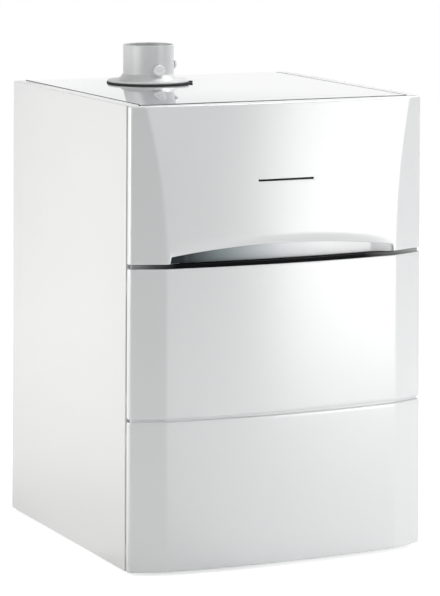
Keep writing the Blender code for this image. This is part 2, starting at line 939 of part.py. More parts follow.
def flue_collar():
    centre = (collar_x, collar_y, casing_top)
    base = gasket_thick + 2 * fit_gap
    outer, inner = collar_radius, collar_radius - collar_wall
    flare_out, flare_in = collar_flare_radius, collar_flare_radius - collar_wall
    flange_top = base + collar_flange_thick
    flare_top = flange_top + collar_flare_height
    profile = [
        (flare_in, base),
        (collar_flange_radius, base),
        (collar_flange_radius, base + collar_flange_thick * 0.6),
        (collar_flange_radius - collar_flange_thick * 0.5, flange_top),
        (flare_out, flange_top),
        (outer + (flare_out - outer) * 0.35, flange_top + collar_flare_height * 0.35),
        (outer, flare_top),
        (outer, collar_height - collar_bead),
        (outer - collar_bead, collar_height),
        (inner, collar_height),
        (inner, flare_top),
        (inner + (flare_in - inner) * 0.35, flange_top + collar_flare_height * 0.35),
    ]
    tube = turned_shape(profile, centre, (0, 0, 1), collar_steps, closed=True)
    collar = add_object("flue_collar", tube, white_plastic, round_shape=True)
    for height, way in ((front_port_height, Vector((0, -1, 0))), (side_port_height, Vector((1, 0, 0)))):
        start = Vector(centre) + Vector((0, 0, height)) + way * (collar_radius - collar_wall / 2)
        unite(collar, rod_shape(
            port_radius - cap_rim, start, way, port_reach - cap_thick / 2 + collar_wall / 2, port_steps,
        ))
    for height, way in ((front_port_height, Vector((0, -1, 0))), (side_port_height, Vector((1, 0, 0)))):
        start = Vector(centre) + Vector((0, 0, height)) + way * (collar_radius - 2 * collar_wall)
        cut(collar, rod_shape(port_bore_radius, start, way, port_reach + 4 * collar_wall, port_steps))
    return collar


def test_port_cap(name, height, way):
    # A push-on cap: a rim round the port's neck and a plug in its bore
    way = Vector(way)
    neck_end = collar_radius + port_reach - cap_thick / 2
    inner = port_radius - cap_rim + fit_gap
    start = Vector((collar_x, collar_y, casing_top + height)) + way * neck_end
    plug = port_bore_radius - fit_gap
    rim_depth = port_reach / 3
    profile = [
        (0, -rim_depth), (plug, -rim_depth), (plug, fit_gap), (inner, fit_gap), (inner, -rim_depth),
        (port_radius + cap_rim, -rim_depth), (port_radius + cap_rim, cap_thick / 2),
        (port_radius, cap_thick), (0, cap_thick),
    ]
    add_object(name, turned_shape(profile, start, way, port_steps), white_plastic, start, True)


flue_collar()
test_port_cap("test_port_cap_front", front_port_height, (0, -1, 0))
test_port_cap("test_port_cap_side", side_port_height, (1, 0, 0))
gasket = ring_shape(
    collar_hole_radius + collar_wall, gasket_radius, (collar_x, collar_y, casing_top + fit_gap),
    (0, 0, 1), gasket_thick, collar_steps,
)
add_object("collar_gasket", gasket, black_rubber, round_shape=True)


# Boiler body: sump, heat exchanger, burner and hood


def behind(setback):
    return front_edge + setback


exchanger_left = exchanger_left_inset - half_width
exchanger_right = half_width - exchanger_right_inset
exchanger_x = (exchanger_left + exchanger_right) / 2
exchanger_width = exchanger_right - exchanger_left
exchanger_front = behind(exchanger_setback)
exchanger_rear = rear_edge - exchanger_rear_inset
exchanger_y = (exchanger_front + exchanger_rear) / 2
exchanger_top = casing_top - exchanger_drop
sump_top = exchanger_bottom - fit_gap
sump_bottom = sump_top - sump_height


def condensate_sump():
    low = (exchanger_left - sump_border, exchanger_front - sump_border, sump_bottom)
    high = (exchanger_right + sump_border, rear_edge - sump_rear_inset, sump_top)
    sump = add_object("condensate_sump", box_shape(low, high), dark_plastic)
    for x in (low[0], high[0] - sump_leg):
        for y in (low[1], high[1] - sump_leg):
            unite(sump, box_shape(
                (x, y, tray_floor + fit_gap), (x + sump_leg, y + sump_leg, sump_bottom + sump_wall / 2)
            ))
    cut(sump, box_shape(
        [value + sump_wall for value in low], [value - sump_wall for value in high]
    ))
    cut(sump, box_shape(
        (exchanger_left + sump_rim, exchanger_front + sump_rim, sump_bottom + 2 * sump_wall),
        (exchanger_right - sump_rim, exchanger_rear - sump_rim, sump_top + sump_wall),
    ))
    cut(sump, rod_shape(
        flue_radius - 2 * flue_wall, (collar_x, collar_y, sump_top - 2 * sump_wall), (0, 0, 1),
        4 * sump_wall, 20,
    ))
    cut(sump, rod_shape(
        siphon_bore_radius, (exchanger_x, behind(siphon_setback), sump_bottom - sump_wall), (0, 0, 1),
        3 * sump_wall, 12,
    ))


def heat_exchanger():
    pitch = exchanger_width / (2 * rib_count + 1)
    outline = [(exchanger_left, exchanger_rear), (exchanger_left, exchanger_front + rib_depth)]
    for i in range(rib_count):
        x = exchanger_left + (2 * i + 1) * pitch
        outline += [
            (x, exchanger_front + rib_depth), (x, exchanger_front),
            (x + pitch, exchanger_front), (x + pitch, exchanger_front + rib_depth),
        ]
    outline += [(exchanger_right, exchanger_front + rib_depth), (exchanger_right, exchanger_rear)]
    block = add_object(
        "heat_exchanger", prism_shape(outline, exchanger_bottom, exchanger_top), cast_aluminium
    )
    step = exchanger_width / passage_count
    half_passage = step * passage_share / 2
    for i in range(passage_count):
        x = exchanger_left + (i + 0.5) * step
        cut(block, box_shape(
            (x - half_passage, exchanger_front + passage_margin, exchanger_bottom - cut_over),
            (x + half_passage, exchanger_rear - passage_margin, exchanger_top + cut_over),
        ))


burner_bottom = exchanger_top + fit_gap
hood_bottom = burner_bottom + burner_thick + fit_gap
hood_top = hood_bottom + hood_height
fan_y = collar_y - fan_flue_spacing
fan_z = hood_top + fit_gap + fan_height
fan_low_x = exchanger_x - fan_width / 2
fan_high_x = exchanger_x + fan_width / 2
scroll_end = scroll_radius + scroll_growth


def burner_plate():
    plate = add_object("burner_plate", box_shape(
        (exchanger_left, exchanger_front, burner_bottom),
        (exchanger_right, exchanger_rear, burner_bottom + burner_thick),
    ), steel)
    step = exchanger_width / burner_slot_count
    for i in range(burner_slot_count):
        x = exchanger_left + (i + 0.5) * step
        cut(plate, box_shape(
            (x - burner_slot_width / 2, exchanger_front + passage_margin, burner_bottom - cut_over),
            (x + burner_slot_width / 2, exchanger_rear - passage_margin, hood_bottom + cut_over),
        ))


def burner_hood():
    # A duct that narrows from the exchanger's top to the fan's outlet
    def ring(low, high, inset, z):
        return [
            (low[0] + inset, low[1] + inset, z), (high[0] - inset, low[1] + inset, z),
            (high[0] - inset, high[1] - inset, z), (low[0] + inset, high[1] - inset, z),
        ]
    shape = bmesh.new()
    below = (exchanger_left, exchanger_front), (exchanger_right, exchanger_rear)
    outlet_front = fan_y - scroll_end
    above = (fan_low_x, outlet_front), (fan_high_x, outlet_front + scroll_outlet)
    rings = [
        ring(*below, 0, hood_bottom), ring(*above, 0, hood_top),
        ring(*above, hood_wall, hood_top), ring(*below, hood_wall, hood_bottom),
    ]
    rings = [[shape.verts.new(point) for point in points] for points in rings]
    for i, one in enumerate(rings):
        two = rings[(i + 1) % len(rings)]
        for k in range(4):
            m = (k + 1) % 4
            shape.faces.new((one[k], one[m], two[m], two[k]))
    bmesh.ops.recalc_face_normals(shape, faces=shape.faces)
    add_object("burner_hood", shape, cast_aluminium)


condensate_sump()
heat_exchanger()
burner_plate()
burner_hood()
electrode = turned_shape(
    [
        (0, 0), (electrode_radius, 0), (electrode_radius, electrode_length / 2),
        (electrode_radius / 2, electrode_length / 2), (electrode_radius / 2, electrode_length),
        (0, electrode_length),
    ],
    (exchanger_left - fit_gap, exchanger_y, exchanger_top - electrode_drop), (-1, 0, 0), 10,
)
add_object("ignition_electrode", electrode, white_plastic, round_shape=True)

duct_bottom = sump_top + fit_gap
flue_duct = ring_shape(
    flue_radius - flue_wall, flue_radius, (collar_x, collar_y, duct_bottom), (0, 0, 1),
    casing_top + collar_height - 2 * collar_wall - duct_bottom, 24,
)
add_object("flue_duct", flue_duct, white_plastic, round_shape=True)


# Siphon and condensate hose

siphon_y = behind(siphon_setback)
siphon_top = sump_bottom - fit_gap
siphon = add_object("siphon", turned_shape(
    [
        (0, -siphon_height + hose_wall), (siphon_radius - hose_wall, -siphon_height + hose_wall),
        (siphon_radius - hose_wall, -siphon_neck_height - hose_wall),
        (siphon_bore_radius, -siphon_neck_height - hose_wall), (siphon_bore_radius, 0),
        (siphon_neck_radius, 0), (siphon_neck_radius, -siphon_neck_height),
        (siphon_radius, -siphon_neck_height), (siphon_radius, -siphon_height), (0, -siphon_height),
    ],
    (exchanger_x, siphon_y, siphon_top), (0, 0, 1), 16,
), grey_plastic, round_shape=True)
unite(siphon, rod_shape(
    hose_radius, (exchanger_x + siphon_radius - 2 * hose_wall, siphon_y, hose_z), (1, 0, 0),
    siphon_nipple_reach, 12,
))
cut(siphon, rod_shape(
    hose_radius - hose_wall, (exchanger_x, siphon_y, hose_z), (1, 0, 0),
    siphon_radius + siphon_nipple_reach, 12,
))
pipe_end = rear_edge - pipe_end_inset
hose_start = exchanger_x + siphon_radius - 2 * hose_wall + siphon_nipple_reach + fit_gap
hose_path = rounded_path(
    [(hose_start, siphon_y, hose_z), (hose_x, siphon_y, hose_z), (hose_x, pipe_end, hose_z)], hose_bend, 4
)
add_object(
    "condensate_hose", pipe_shape(hose_path, hose_radius, hose_wall, pipe_steps), grey_plastic,
    round_shape=True,
)


# Combustion fan


def scroll_outline(inset, low_z):
    # The spiral runs from under the wheel round its rear and top, then straight down to the outlet
    start, sweep = math.radians(-60), math.radians(240)
    points = []
    for i in range(scroll_steps + 1):
        share = i / scroll_steps
        radius = scroll_radius + scroll_growth * share - inset
        angle = start + sweep * share
        points.append((fan_y + radius * math.cos(angle), fan_z + radius * math.sin(angle)))
    points.append((fan_y - scroll_end + inset, low_z))
    points.append((fan_y - scroll_end + scroll_outlet - inset, low_z))
    return points


def bladed_wheel(hub_radius, tip_radius, blades, thick, centre, axis, low, high):
    # A hub with straight blades, drawn as one outline about the axis
    outline = []
    half = thick / 2
    root = math.sqrt(hub_radius * hub_radius - half * half)
    for i in range(blades):
        angle = math.tau * i / blades
        out, side = Vector((math.cos(angle), math.sin(angle))), Vector((-math.sin(angle), math.cos(angle)))
        for distance, across in ((root, -half), (tip_radius, -half), (tip_radius, half), (root, half)):
            point = out * distance + side * across
            outline.append((centre[0] + point.x, centre[1] + point.y))
    return prism_shape(outline, low, high, axis)


def combustion_fan():
    housing = add_object("fan_housing", prism_shape(
        scroll_outline(0, hood_top + fit_gap), fan_low_x, fan_high_x, "x"
    ), cast_aluminium, round_shape=True)
    cut(housing, prism_shape(
        scroll_outline(fan_wall, hood_top - cut_over), fan_low_x + fan_wall, fan_high_x - fan_wall, "x"
    ))
    cut(housing, rod_shape(
        fan_inlet_radius, (fan_low_x - cut_over, fan_y, fan_z), (1, 0, 0), 2 * cut_over, 20
    ))
    shaft_hole = fan_shaft_radius + fan_shaft_gap
    cut(housing, rod_shape(
        shaft_hole, (fan_high_x - cut_over, fan_y, fan_z), (1, 0, 0), 2 * cut_over, 12
    ))
    wheel = bladed_wheel(
        impeller_hub_radius, impeller_radius, impeller_blades, blade_thick, (fan_y, fan_z), "x",
        exchanger_x - impeller_width / 2, exchanger_x + impeller_width / 2,
    )
    centre = (exchanger_x, fan_y, fan_z)
    impeller = add_object("fan_impeller", wheel, dark_plastic, centre)
    motor_face = fan_high_x + fit_gap
    shaft_end = motor_face + motor_bore_depth - fan_shaft_gap
    unite(impeller, rod_shape(fan_shaft_radius, centre, (1, 0, 0), shaft_end - exchanger_x, 12))
    motor = turned_shape(
        [
            (0, motor_bore_depth), (shaft_hole, motor_bore_depth), (shaft_hole, 0), (motor_radius, 0),
            (motor_radius, motor_length * 0.8), (motor_radius * 0.85, motor_length), (0, motor_length),
        ],
        (motor_face, fan_y, fan_z), (1, 0, 0), 20,
    )
    add_object("fan_motor", motor, dark_plastic, round_shape=True)
    mouth, throat = venturi_mouth_radius, venturi_throat_radius
    venturi = turned_shape(
        [
            (mouth, 0), (venturi_flange_radius, 0), (venturi_flange_radius, venturi_flange_thick),
            (mouth + venturi_wall, venturi_flange_thick), (mouth + venturi_wall, venturi_length),
            (mouth - venturi_wall, venturi_length), (throat, venturi_length * 0.55),
        ],
        (fan_low_x - fit_gap, fan_y, fan_z), (-1, 0, 0), 20, closed=True,
    )
    add_object("venturi", venturi, dark_plastic, round_shape=True)


combustion_fan()


# Gas valve, gas pipe and air intake

venturi_front = fan_y - venturi_mouth_radius - venturi_wall
valve_high_x = fan_low_x - valve_end_gap
valve_x = valve_high_x - valve_width / 2
valve_rear = venturi_front - valve_end_gap
valve_y = valve_rear - valve_depth / 2
valve_bottom = fan_z - valve_height / 2


def gas_valve():
    block = add_object("gas_valve", box_shape(
        (valve_high_x - valve_width, valve_rear - valve_depth, valve_bottom),
        (valve_high_x, valve_rear, valve_bottom + valve_height),
    ), cast_aluminium)
    unite(block, rod_shape(
        valve_nozzle_radius, (valve_x, valve_y, fan_z), (0, 1, 0), venturi_front - fit_gap - valve_y, 12
    ))
    for share in (0.25, 0.75):
        place = (valve_x, valve_rear - valve_depth * share, valve_bottom + valve_height / 2)
        unite(block, rod_shape(coil_radius, place, (0, 0, 1), valve_height / 2 + coil_height, 14))


gas_valve()
gas_x = gas_inset - half_width
gas_rise_top = valve_bottom - gas_rise_drop
cock_front = rear_edge - cock_rear_inset
gas_path = rounded_path(
    [
        (gas_x, cock_front - fit_gap, gas_z), (gas_x, valve_y, gas_z), (gas_x, valve_y, gas_rise_top),
        (valve_x, valve_y, gas_rise_top), (valve_x, valve_y, valve_bottom - fit_gap),
    ],
    gas_pipe_bend, 4,
)
add_object(
    "gas_pipe", pipe_shape(gas_path, gas_pipe_radius, water_pipe_wall, 10), yellow_paint, round_shape=True
)
cock_bore = gas_pipe_radius - water_pipe_wall
cock_end = pipe_end - cock_front
gas_cock = add_object("gas_cock", turned_shape(
    [
        (cock_bore, 0), (cock_radius, 0), (cock_radius, cock_length), (gas_pipe_radius, cock_length),
        (gas_pipe_radius, cock_end), (cock_bore, cock_end),
    ],
    (gas_x, cock_front, gas_z), (0, 1, 0), pipe_steps, closed=True,
), brass, round_shape=True)
stem_y = cock_front + cock_length / 2
unite(gas_cock, rod_shape(
    cock_stem_radius, (gas_x, stem_y, gas_z + cock_bore + water_pipe_wall), (0, 0, 1),
    cock_stem_height - cock_bore - water_pipe_wall, 10,
))
lever_z = gas_z + cock_stem_height + fit_gap
add_object("gas_cock_lever", box_shape(
    (gas_x - lever_width / 2, stem_y - lever_length, lever_z),
    (gas_x + lever_width / 2, stem_y + lever_width / 2, lever_z + lever_thick),
), yellow_plastic, (gas_x, stem_y, lever_z))

silencer_start = fan_low_x - fit_gap - venturi_length - fit_gap
silencer_path = rounded_path(
    [
        (silencer_start, fan_y, fan_z), (silencer_start - silencer_reach, fan_y, fan_z),
        (silencer_start - silencer_reach, rear_edge - silencer_rear_inset, fan_z),
    ],
    silencer_bend, 5,
)
add_object(
    "air_silencer", pipe_shape(silencer_path, silencer_radius, silencer_wall, 14), dark_plastic,
    round_shape=True,
)


# Water side: pump, pipes, vessel and safety valve

pump_x = half_width - pump_inset
pump_front = behind(pump_setback)
volute_start = pump_can_length
volute_end = volute_start + pump_volute_length
pump_end = volute_end + pump_inlet_length
cavity_start = volute_start + pump_wall
cavity_end = volute_end - pump_wall
cavity_radius = pump_volute_radius - pump_wall
pipe_bore = water_pipe_radius - water_pipe_wall
volute_y = pump_front + (volute_start + volute_end) / 2


def pump():
    body = add_object("pump_body", turned_shape(
        [
            (0, 0), (pump_can_radius, 0), (pump_can_radius, volute_start),
            (pump_volute_radius, volute_start), (pump_volute_radius, volute_end),
            (water_pipe_radius, volute_end), (water_pipe_radius, pump_end), (pipe_bore, pump_end),
            (pipe_bore, cavity_end), (cavity_radius, cavity_end), (cavity_radius, cavity_start),
            (0, cavity_start),
        ],
        (pump_x, pump_front, pump_z), (0, 1, 0), 24,
    ), cast_iron, round_shape=True)
    neck_start = pump_z + cavity_radius + pump_wall / 4
    unite(body, rod_shape(
        water_pipe_radius, (pump_x, volute_y, neck_start), (0, 0, 1), pump_outlet_top - neck_start,
        pipe_steps,
    ))
    bore_start = pump_z + cavity_radius - pump_wall
    cut(body, rod_shape(
        pipe_bore - water_pipe_wall, (pump_x, volute_y, bore_start), (0, 0, 1),
        pump_outlet_top + pump_wall - bore_start, pipe_steps,
    ))
    wheel_start = pump_front + cavity_start + fit_gap
    wheel = bladed_wheel(
        pump_wheel_hub_radius, pump_wheel_radius, pump_wheel_blades, blade_thick, (pump_x, pump_z), "y",
        wheel_start, wheel_start + pump_wheel_width,
    )
    add_object("pump_impeller", wheel, dark_plastic, (pump_x, wheel_start, pump_z))


def water_pipe(name, corners):
    path = rounded_path(corners, water_pipe_bend, 4)
    add_object(
        name, pipe_shape(path, water_pipe_radius, water_pipe_wall, pipe_steps), copper, round_shape=True
    )


pump()
return_z = exchanger_bottom + exchanger_return_height
flow_z = exchanger_top - exchanger_flow_drop
flow_pipe_x = half_width - flow_pipe_inset
flow_drop_y = rear_edge - flow_rear_inset
water_pipe("pump_outlet_pipe", [
    (pump_x, volute_y, pump_outlet_top + fit_gap), (pump_x, volute_y, return_z),
    (pump_x, exchanger_y, return_z), (exchanger_right + fit_gap, exchanger_y, return_z),
])
water_pipe("return_pipe", [(pump_x, pump_front + pump_end + fit_gap, pump_z), (pump_x, pipe_end, pump_z)])
water_pipe("flow_pipe", [
    (exchanger_right + fit_gap, exchanger_y, flow_z),
    (flow_pipe_x, exchanger_y, flow_z), (flow_pipe_x, flow_drop_y, flow_z),
    (flow_pipe_x, flow_drop_y, flow_exit_z), (flow_pipe_x, pipe_end, flow_exit_z),
])


vessel_x = half_width - vessel_inset


def expansion_vessel():
    # Two thin domes with a rolled rim, a stud to the side panel, an open nipple to the pump's pipe
    half = vessel_thick / 2
    stud_end = vessel_x - (half_width - sheet - fit_gap)
    nipple_end = vessel_x - (pump_x + water_pipe_radius + fit_gap)
    rim = vessel_stud_radius / 2

    def domes(inset):
        crown, radius = half - inset, vessel_radius - inset
        rear = [(radius * 0.55, -crown), (radius * 0.88, -crown * 0.75), (radius, -rim)]
        return rear + [(across, -along) for across, along in reversed(rear)]
    profile = [(0, stud_end), (vessel_stud_radius, stud_end), (vessel_stud_radius, -half)]
    profile += domes(0)
    profile += [(vessel_stud_radius, half), (vessel_stud_radius, nipple_end)]
    bore = vessel_stud_radius - vessel_wall
    profile += [(bore, nipple_end), (bore, half - vessel_wall)]
    profile += reversed(domes(vessel_wall))
    profile += [(0, vessel_wall - half)]
    shape = turned_shape(profile, (vessel_x, volute_y, vessel_z), (-1, 0, 0), vessel_steps)
    add_object("expansion_vessel", shape, red_paint, round_shape=True)


expansion_vessel()
relief_y = (exchanger_y + flow_drop_y) / 2
relief_start = flow_z + water_pipe_radius + fit_gap
add_object("safety_valve", turned_shape(
    [
        (0, 0), (relief_radius, 0), (relief_radius, relief_height * 0.6),
        (relief_radius * 0.7, relief_height * 0.6), (relief_radius * 0.7, relief_height),
        (0, relief_height),
    ],
    (flow_pipe_x, relief_y, relief_start), (0, 0, 1), 12,
), brass, round_shape=True)
cap_start = relief_start + relief_height + fit_gap
cap_outline = []
for i in range(16):
    radius = relief_cap_radius * (1 if i % 2 else 0.88)
    angle = math.tau * i / 16
    cap_outline.append((flow_pipe_x + radius * math.cos(angle), relief_y + radius * math.sin(angle)))
add_object(
    "safety_valve_cap", prism_shape(cap_outline, cap_start, cap_start + relief_cap_height), red_plastic,
    (flow_pipe_x, relief_y, cap_start),
)


# Controls behind the flap: fascia, display, keys, knob, switch, gauge and board

fascia_front = behind(fascia_setback)
fascia_rear = fascia_front + fascia_thick
fascia_half = half_width - sheet - tray_side_gap - tray_sheet - post_size - fit_gap
fascia_bottom = casing_top - fascia_drop
control_z = casing_top - control_drop
switch_x = switch_inset - half_width
gauge_x = half_width - gauge_inset
keys = [
    ("push_key_left", display_x - key_spacing / 2), ("push_key_right", display_x + key_spacing / 2),
]
key_z = control_z - key_drop


def fascia_hole(x, z, width, height):
    # A rectangular hole, the given size and no more
    cut(fascia, box_shape(
        (x - width / 2, fascia_front - cut_over, z - height / 2),
        (x + width / 2, fascia_rear + cut_over, z + height / 2),
    ))


def fascia_bore(x, radius, steps):
    cut(fascia, rod_shape(
        radius, (x, fascia_front - cut_over, control_z), (0, 1, 0), fascia_thick + 2 * cut_over, steps
    ))


fascia = add_object("control_fascia", box_shape(
    (-fascia_half, fascia_front, fascia_bottom), (fascia_half, fascia_rear, crossbar_bottom - fit_gap)
), grey_plastic)
fascia_hole(display_x, control_z, display_width + 2 * fit_gap, display_height + 2 * fit_gap)
for name, x in keys:
    fascia_hole(x, key_z, key_width + 2 * key_gap, key_height + 2 * key_gap)
fascia_hole(switch_x, control_z, switch_width + 2 * key_gap, 2 * (switch_half + switch_clearance))
fascia_bore(knob_x, knob_shaft_radius + fit_gap, 12)
fascia_bore(gauge_x, gauge_radius + fit_gap, 24)

add_object("display_window", box_shape(
    (display_x - display_width / 2, fascia_front, control_z - display_height / 2),
    (display_x + display_width / 2, fascia_rear, control_z + display_height / 2),
), display_glass)

for name, x in keys:
    add_object(name, box_shape(
        (x - key_width / 2, fascia_front - key_reach, key_z - key_height / 2),
        (x + key_width / 2, fascia_rear + key_reach, key_z + key_height / 2),
    ), white_plastic, (x, fascia_front, key_z))

knob_outline = []
for i in range(2 * knob_grooves):
    radius = knob_radius * (knob_groove_share if i % 2 else 1)
    angle = math.tau * i / (2 * knob_grooves)
    knob_outline.append((knob_x + radius * math.cos(angle), control_z + radius * math.sin(angle)))
knob = add_object(
    "selector_knob", prism_shape(knob_outline, fascia_front - knob_reach, fascia_front - knob_start, "y"),
    dark_plastic, (knob_x, fascia_front, control_z),
)
unite(knob, rod_shape(
    knob_shaft_radius, (knob_x, fascia_front - knob_reach / 2, control_z), (0, 1, 0),
    knob_reach / 2 + knob_shaft_end, 12,
))

add_object("main_switch", prism_shape(
    [
        (fascia_front - switch_dip, control_z - switch_half), (fascia_front - switch_ridge, control_z),
        (fascia_front - switch_dip, control_z + switch_half),
        (fascia_front + switch_behind, control_z + switch_rear_half),
        (fascia_front + switch_behind, control_z - switch_rear_half),
    ],
    switch_x - switch_width / 2, switch_x + switch_width / 2, "x",
), dark_plastic, (switch_x, fascia_front + switch_pivot, control_z))

dial = gauge_bezel_reach - gauge_recess
gauge_bore = gauge_bezel_radius - gauge_bezel_rim
add_object("pressure_gauge", turned_shape(
    [
        (0, dial), (gauge_bore, dial), (gauge_bore, gauge_bezel_reach),
        (gauge_bezel_radius, gauge_bezel_reach), (gauge_bezel_radius, fit_gap), (gauge_radius, fit_gap),
        (gauge_radius, -gauge_behind), (0, -gauge_behind),
    ],
    (gauge_x, fascia_front, control_z), (0, -1, 0), 24,
), white_plastic, round_shape=True)
needle_start = fascia_front - dial - needle_lift
needle_outline = [(gauge_x, control_z + needle_length)]
for i in range(9):
    angle = math.radians(60 - 300 * i / 8)
    needle_outline.append((
        gauge_x + needle_hub_radius * math.cos(angle), control_z + needle_hub_radius * math.sin(angle)
    ))
add_object(
    "gauge_needle", prism_shape(needle_outline, needle_start - needle_thick, needle_start, "y"),
    red_plastic, (gauge_x, needle_start, control_z),
)

board_half = half_width - board_inset
board_top = casing_top - board_drop
board_bottom = board_top - board_height
relay_x = board_half - relay_inset
relay_z = board_bottom + relay_rise
board_front = fascia_front + board_setback
board_rear = board_front + board_thick
board = add_object("control_board", box_shape(
    (-board_half, board_front, board_bottom), (board_half, board_rear, board_top)
), circuit_green)
for x in (spacer_inset - board_half, board_half - spacer_inset):
    for z in (board_bottom + spacer_inset, board_top - spacer_inset):
        unite(board, rod_shape(
            spacer_radius, (x, fascia_rear + fit_gap, z), (0, 1, 0), board_rear - fascia_rear - sheet, 8
        ))
for share in (-1, 0, 1):
    unite(board, box_shape(
        (relay_x + (2 * share - 1) * relay_size, board_front + sheet, relay_z),
        (relay_x + 2 * share * relay_size, board_rear + relay_size, relay_z + relay_size),
    ))
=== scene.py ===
# %% [markdown]
# The CAD model of the boiler is loaded as a fixed frame. This script dresses its nodes for looks, without
# moving anything. The frame's box is kept.

# %% Load the frame
import json
import math

import bmesh
import bpy
from mathutils import Matrix, Vector


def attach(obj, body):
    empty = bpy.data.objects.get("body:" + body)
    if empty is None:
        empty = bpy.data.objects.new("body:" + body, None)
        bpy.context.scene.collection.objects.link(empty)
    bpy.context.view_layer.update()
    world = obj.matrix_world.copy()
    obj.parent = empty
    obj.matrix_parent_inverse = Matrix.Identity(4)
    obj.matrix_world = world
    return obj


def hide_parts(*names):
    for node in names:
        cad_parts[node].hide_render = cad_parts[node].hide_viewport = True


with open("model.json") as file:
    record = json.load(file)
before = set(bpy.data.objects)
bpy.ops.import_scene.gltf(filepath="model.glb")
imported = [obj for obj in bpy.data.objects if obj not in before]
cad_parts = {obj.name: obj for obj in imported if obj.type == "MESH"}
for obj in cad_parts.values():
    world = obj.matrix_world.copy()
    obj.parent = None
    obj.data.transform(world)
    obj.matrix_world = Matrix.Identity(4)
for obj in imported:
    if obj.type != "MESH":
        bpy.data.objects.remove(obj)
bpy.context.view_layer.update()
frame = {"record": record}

# %% [markdown]
# Sizes repeated from the construction, in metres. The front faces -Y, +X is the boiler's right side and the
# floor is z = 0. Forward sizes, such as BOW, count from the casing's front edge towards -Y.

# %% Sizes
# The casing: half its width, its top and bottom, its front and rear edges, the play between neighbours
# and the thickness of its sheet
HALF, TOP, BOTTOM = 0.300, 0.850, 0.006
FRONT, REAR = -0.25815, 0.31185
GAP, SHEET = 0.0003, 0.0012
# The front's outline: its side wall, the rounded corner's end and start, the crease and the arc's middle
SIDE_X, RIM = HALF - 0.0015, 0.004
CORNER, CORNER_START = (0.2925, 0.0167), 0.0085
CREASE = (0.2342, 0.0381)
BOW = 0.0537
# The control flap: its bow at the top, the spread of its creases, its edges and the status light's slit
BOW_TOP, FLARE = 0.0435, 0.0365
FLAP_LOW, FLAP_HIGH = 0.5625, 0.8485
SLIT_Z, SLIT_LENGTH, SLIT_HEIGHT = 0.708, 0.113, 0.004
# The foot of the flue collar's axis, the face of the fascia and the height of its controls
COLLAR = Vector((-0.070, FRONT + 0.430, TOP))
FACE, CONTROL_Z = FRONT + 0.020, 0.705

print("casing", 2 * HALF, "wide,", round(REAR - FRONT, 5), "deep,", TOP, "high")
print("collar at", [round(each, 5) for each in COLLAR])

# %% [markdown]
# Helpers for meshes. Each new piece is one mesh at the origin, rides on a body of the CAD model and takes a
# named finish. Most forms here are rows of points joined by faces, because turned, bent and extruded parts
# are all made that way, and such meshes stay closed and clean.

# %% Mesh helpers
X_AXIS, Y_AXIS, Z_AXIS = Vector((1, 0, 0)), Vector((0, 1, 0)), Vector((0, 0, 1))
# The way the boiler's front faces
FORWARD = Vector((0, -1, 0))
MATERIALS = {}


def tidied(mesh_data):
    # Joins points that lie on each other and turns all faces outwards
    bmesh.ops.remove_doubles(mesh_data, verts=mesh_data.verts, dist=1e-6)
    bmesh.ops.recalc_face_normals(mesh_data, faces=mesh_data.faces)
    return mesh_data


def piece(name, mesh_data, material, body, replaces=(), angle=35, clean=True):
    # angle is the sharpest edge that is still shaded smooth; replaces names the CAD nodes it stands for
    mesh = bpy.data.meshes.new(name)
    if clean:
        tidied(mesh_data)
    mesh_data.to_mesh(mesh)
    mesh_data.free()
    mesh.shade_smooth()
    mesh.set_sharp_from_angle(angle=math.radians(angle))
    item = bpy.data.objects.new(name, mesh)
    bpy.context.scene.collection.objects.link(item)
    mesh.materials.append(MATERIALS[material])
    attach(item, body)
    if replaces:
        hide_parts(*replaces)
    return item


def extent(name):
    # A piece's size along each axis, in millimetres
    points = [vertex.co for vertex in bpy.data.objects[name].data.vertices]
    return [round(1000 * (max(p[k] for p in points) - min(p[k] for p in points)), 1) for k in range(3)]


def loft(rows, mesh_data=None, closed=False):
    # Faces between rows of points; closed joins each row's end to its start
    mesh_data = mesh_data or bmesh.new()
    grid = [[mesh_data.verts.new(point) for point in row] for row in rows]
    for one, two in zip(grid, grid[1:]):
        count = len(one) if closed else len(one) - 1
        for i in range(count):
            k = (i + 1) % len(one)
            mesh_data.faces.new((one[i], one[k], two[k], two[i]))
    return mesh_data


def strip(rows, mesh_data=None):
    # A closed section carried along, with both ends filled: each row is one corner's line
    mesh_data = loft(rows + rows[:1], mesh_data)
    for column in (0, -1):
        mesh_data.faces.new([mesh_data.verts.new(row[column]) for row in rows])
    return mesh_data


def turned(profile, centre, axis=(0, 0, 1), steps=64, mesh_data=None, closed=False):
    # Turns (radius, height) points about an axis; a point of radius 0 closes the form
    axis = Vector(axis).normalized()
    across = axis.orthogonal().normalized()
    third = axis.cross(across)
    rows = []
    points = profile + profile[:1] if closed else profile
    for radius, height in points:
        row = []
        for i in range(steps):
            angle = math.tau * i / steps
            spoke = across * math.cos(angle) + third * math.sin(angle)
            row.append(Vector(centre) + axis * height + spoke * radius)
        rows.append(row)
    return loft(rows, mesh_data, closed=True)


def prism(outline, low, high, axis="z", mesh_data=None):
    # An outline drawn across an axis and carried along it from low to high
    mesh_data = mesh_data or bmesh.new()
    place = {
        "x": lambda a, b, c: (c, a, b),
        "y": lambda a, b, c: (a, c, b),
        "z": lambda a, b, c: (a, b, c),
    }[axis]
    ends = [[mesh_data.verts.new(place(a, b, c)) for a, b in outline] for c in (low, high)]
    mesh_data.faces.new(ends[0])
    mesh_data.faces.new(ends[1])
    for i in range(len(outline)):
        k = (i + 1) % len(outline)
        mesh_data.faces.new((ends[0][i], ends[0][k], ends[1][k], ends[1][i]))
    return mesh_data


sample = turned([(0, 0), (0.01, 0), (0, 0.01)], (0, 0, 0))
print("a turned cone has", len(sample.faces), "faces before its points are joined")
sample.free()

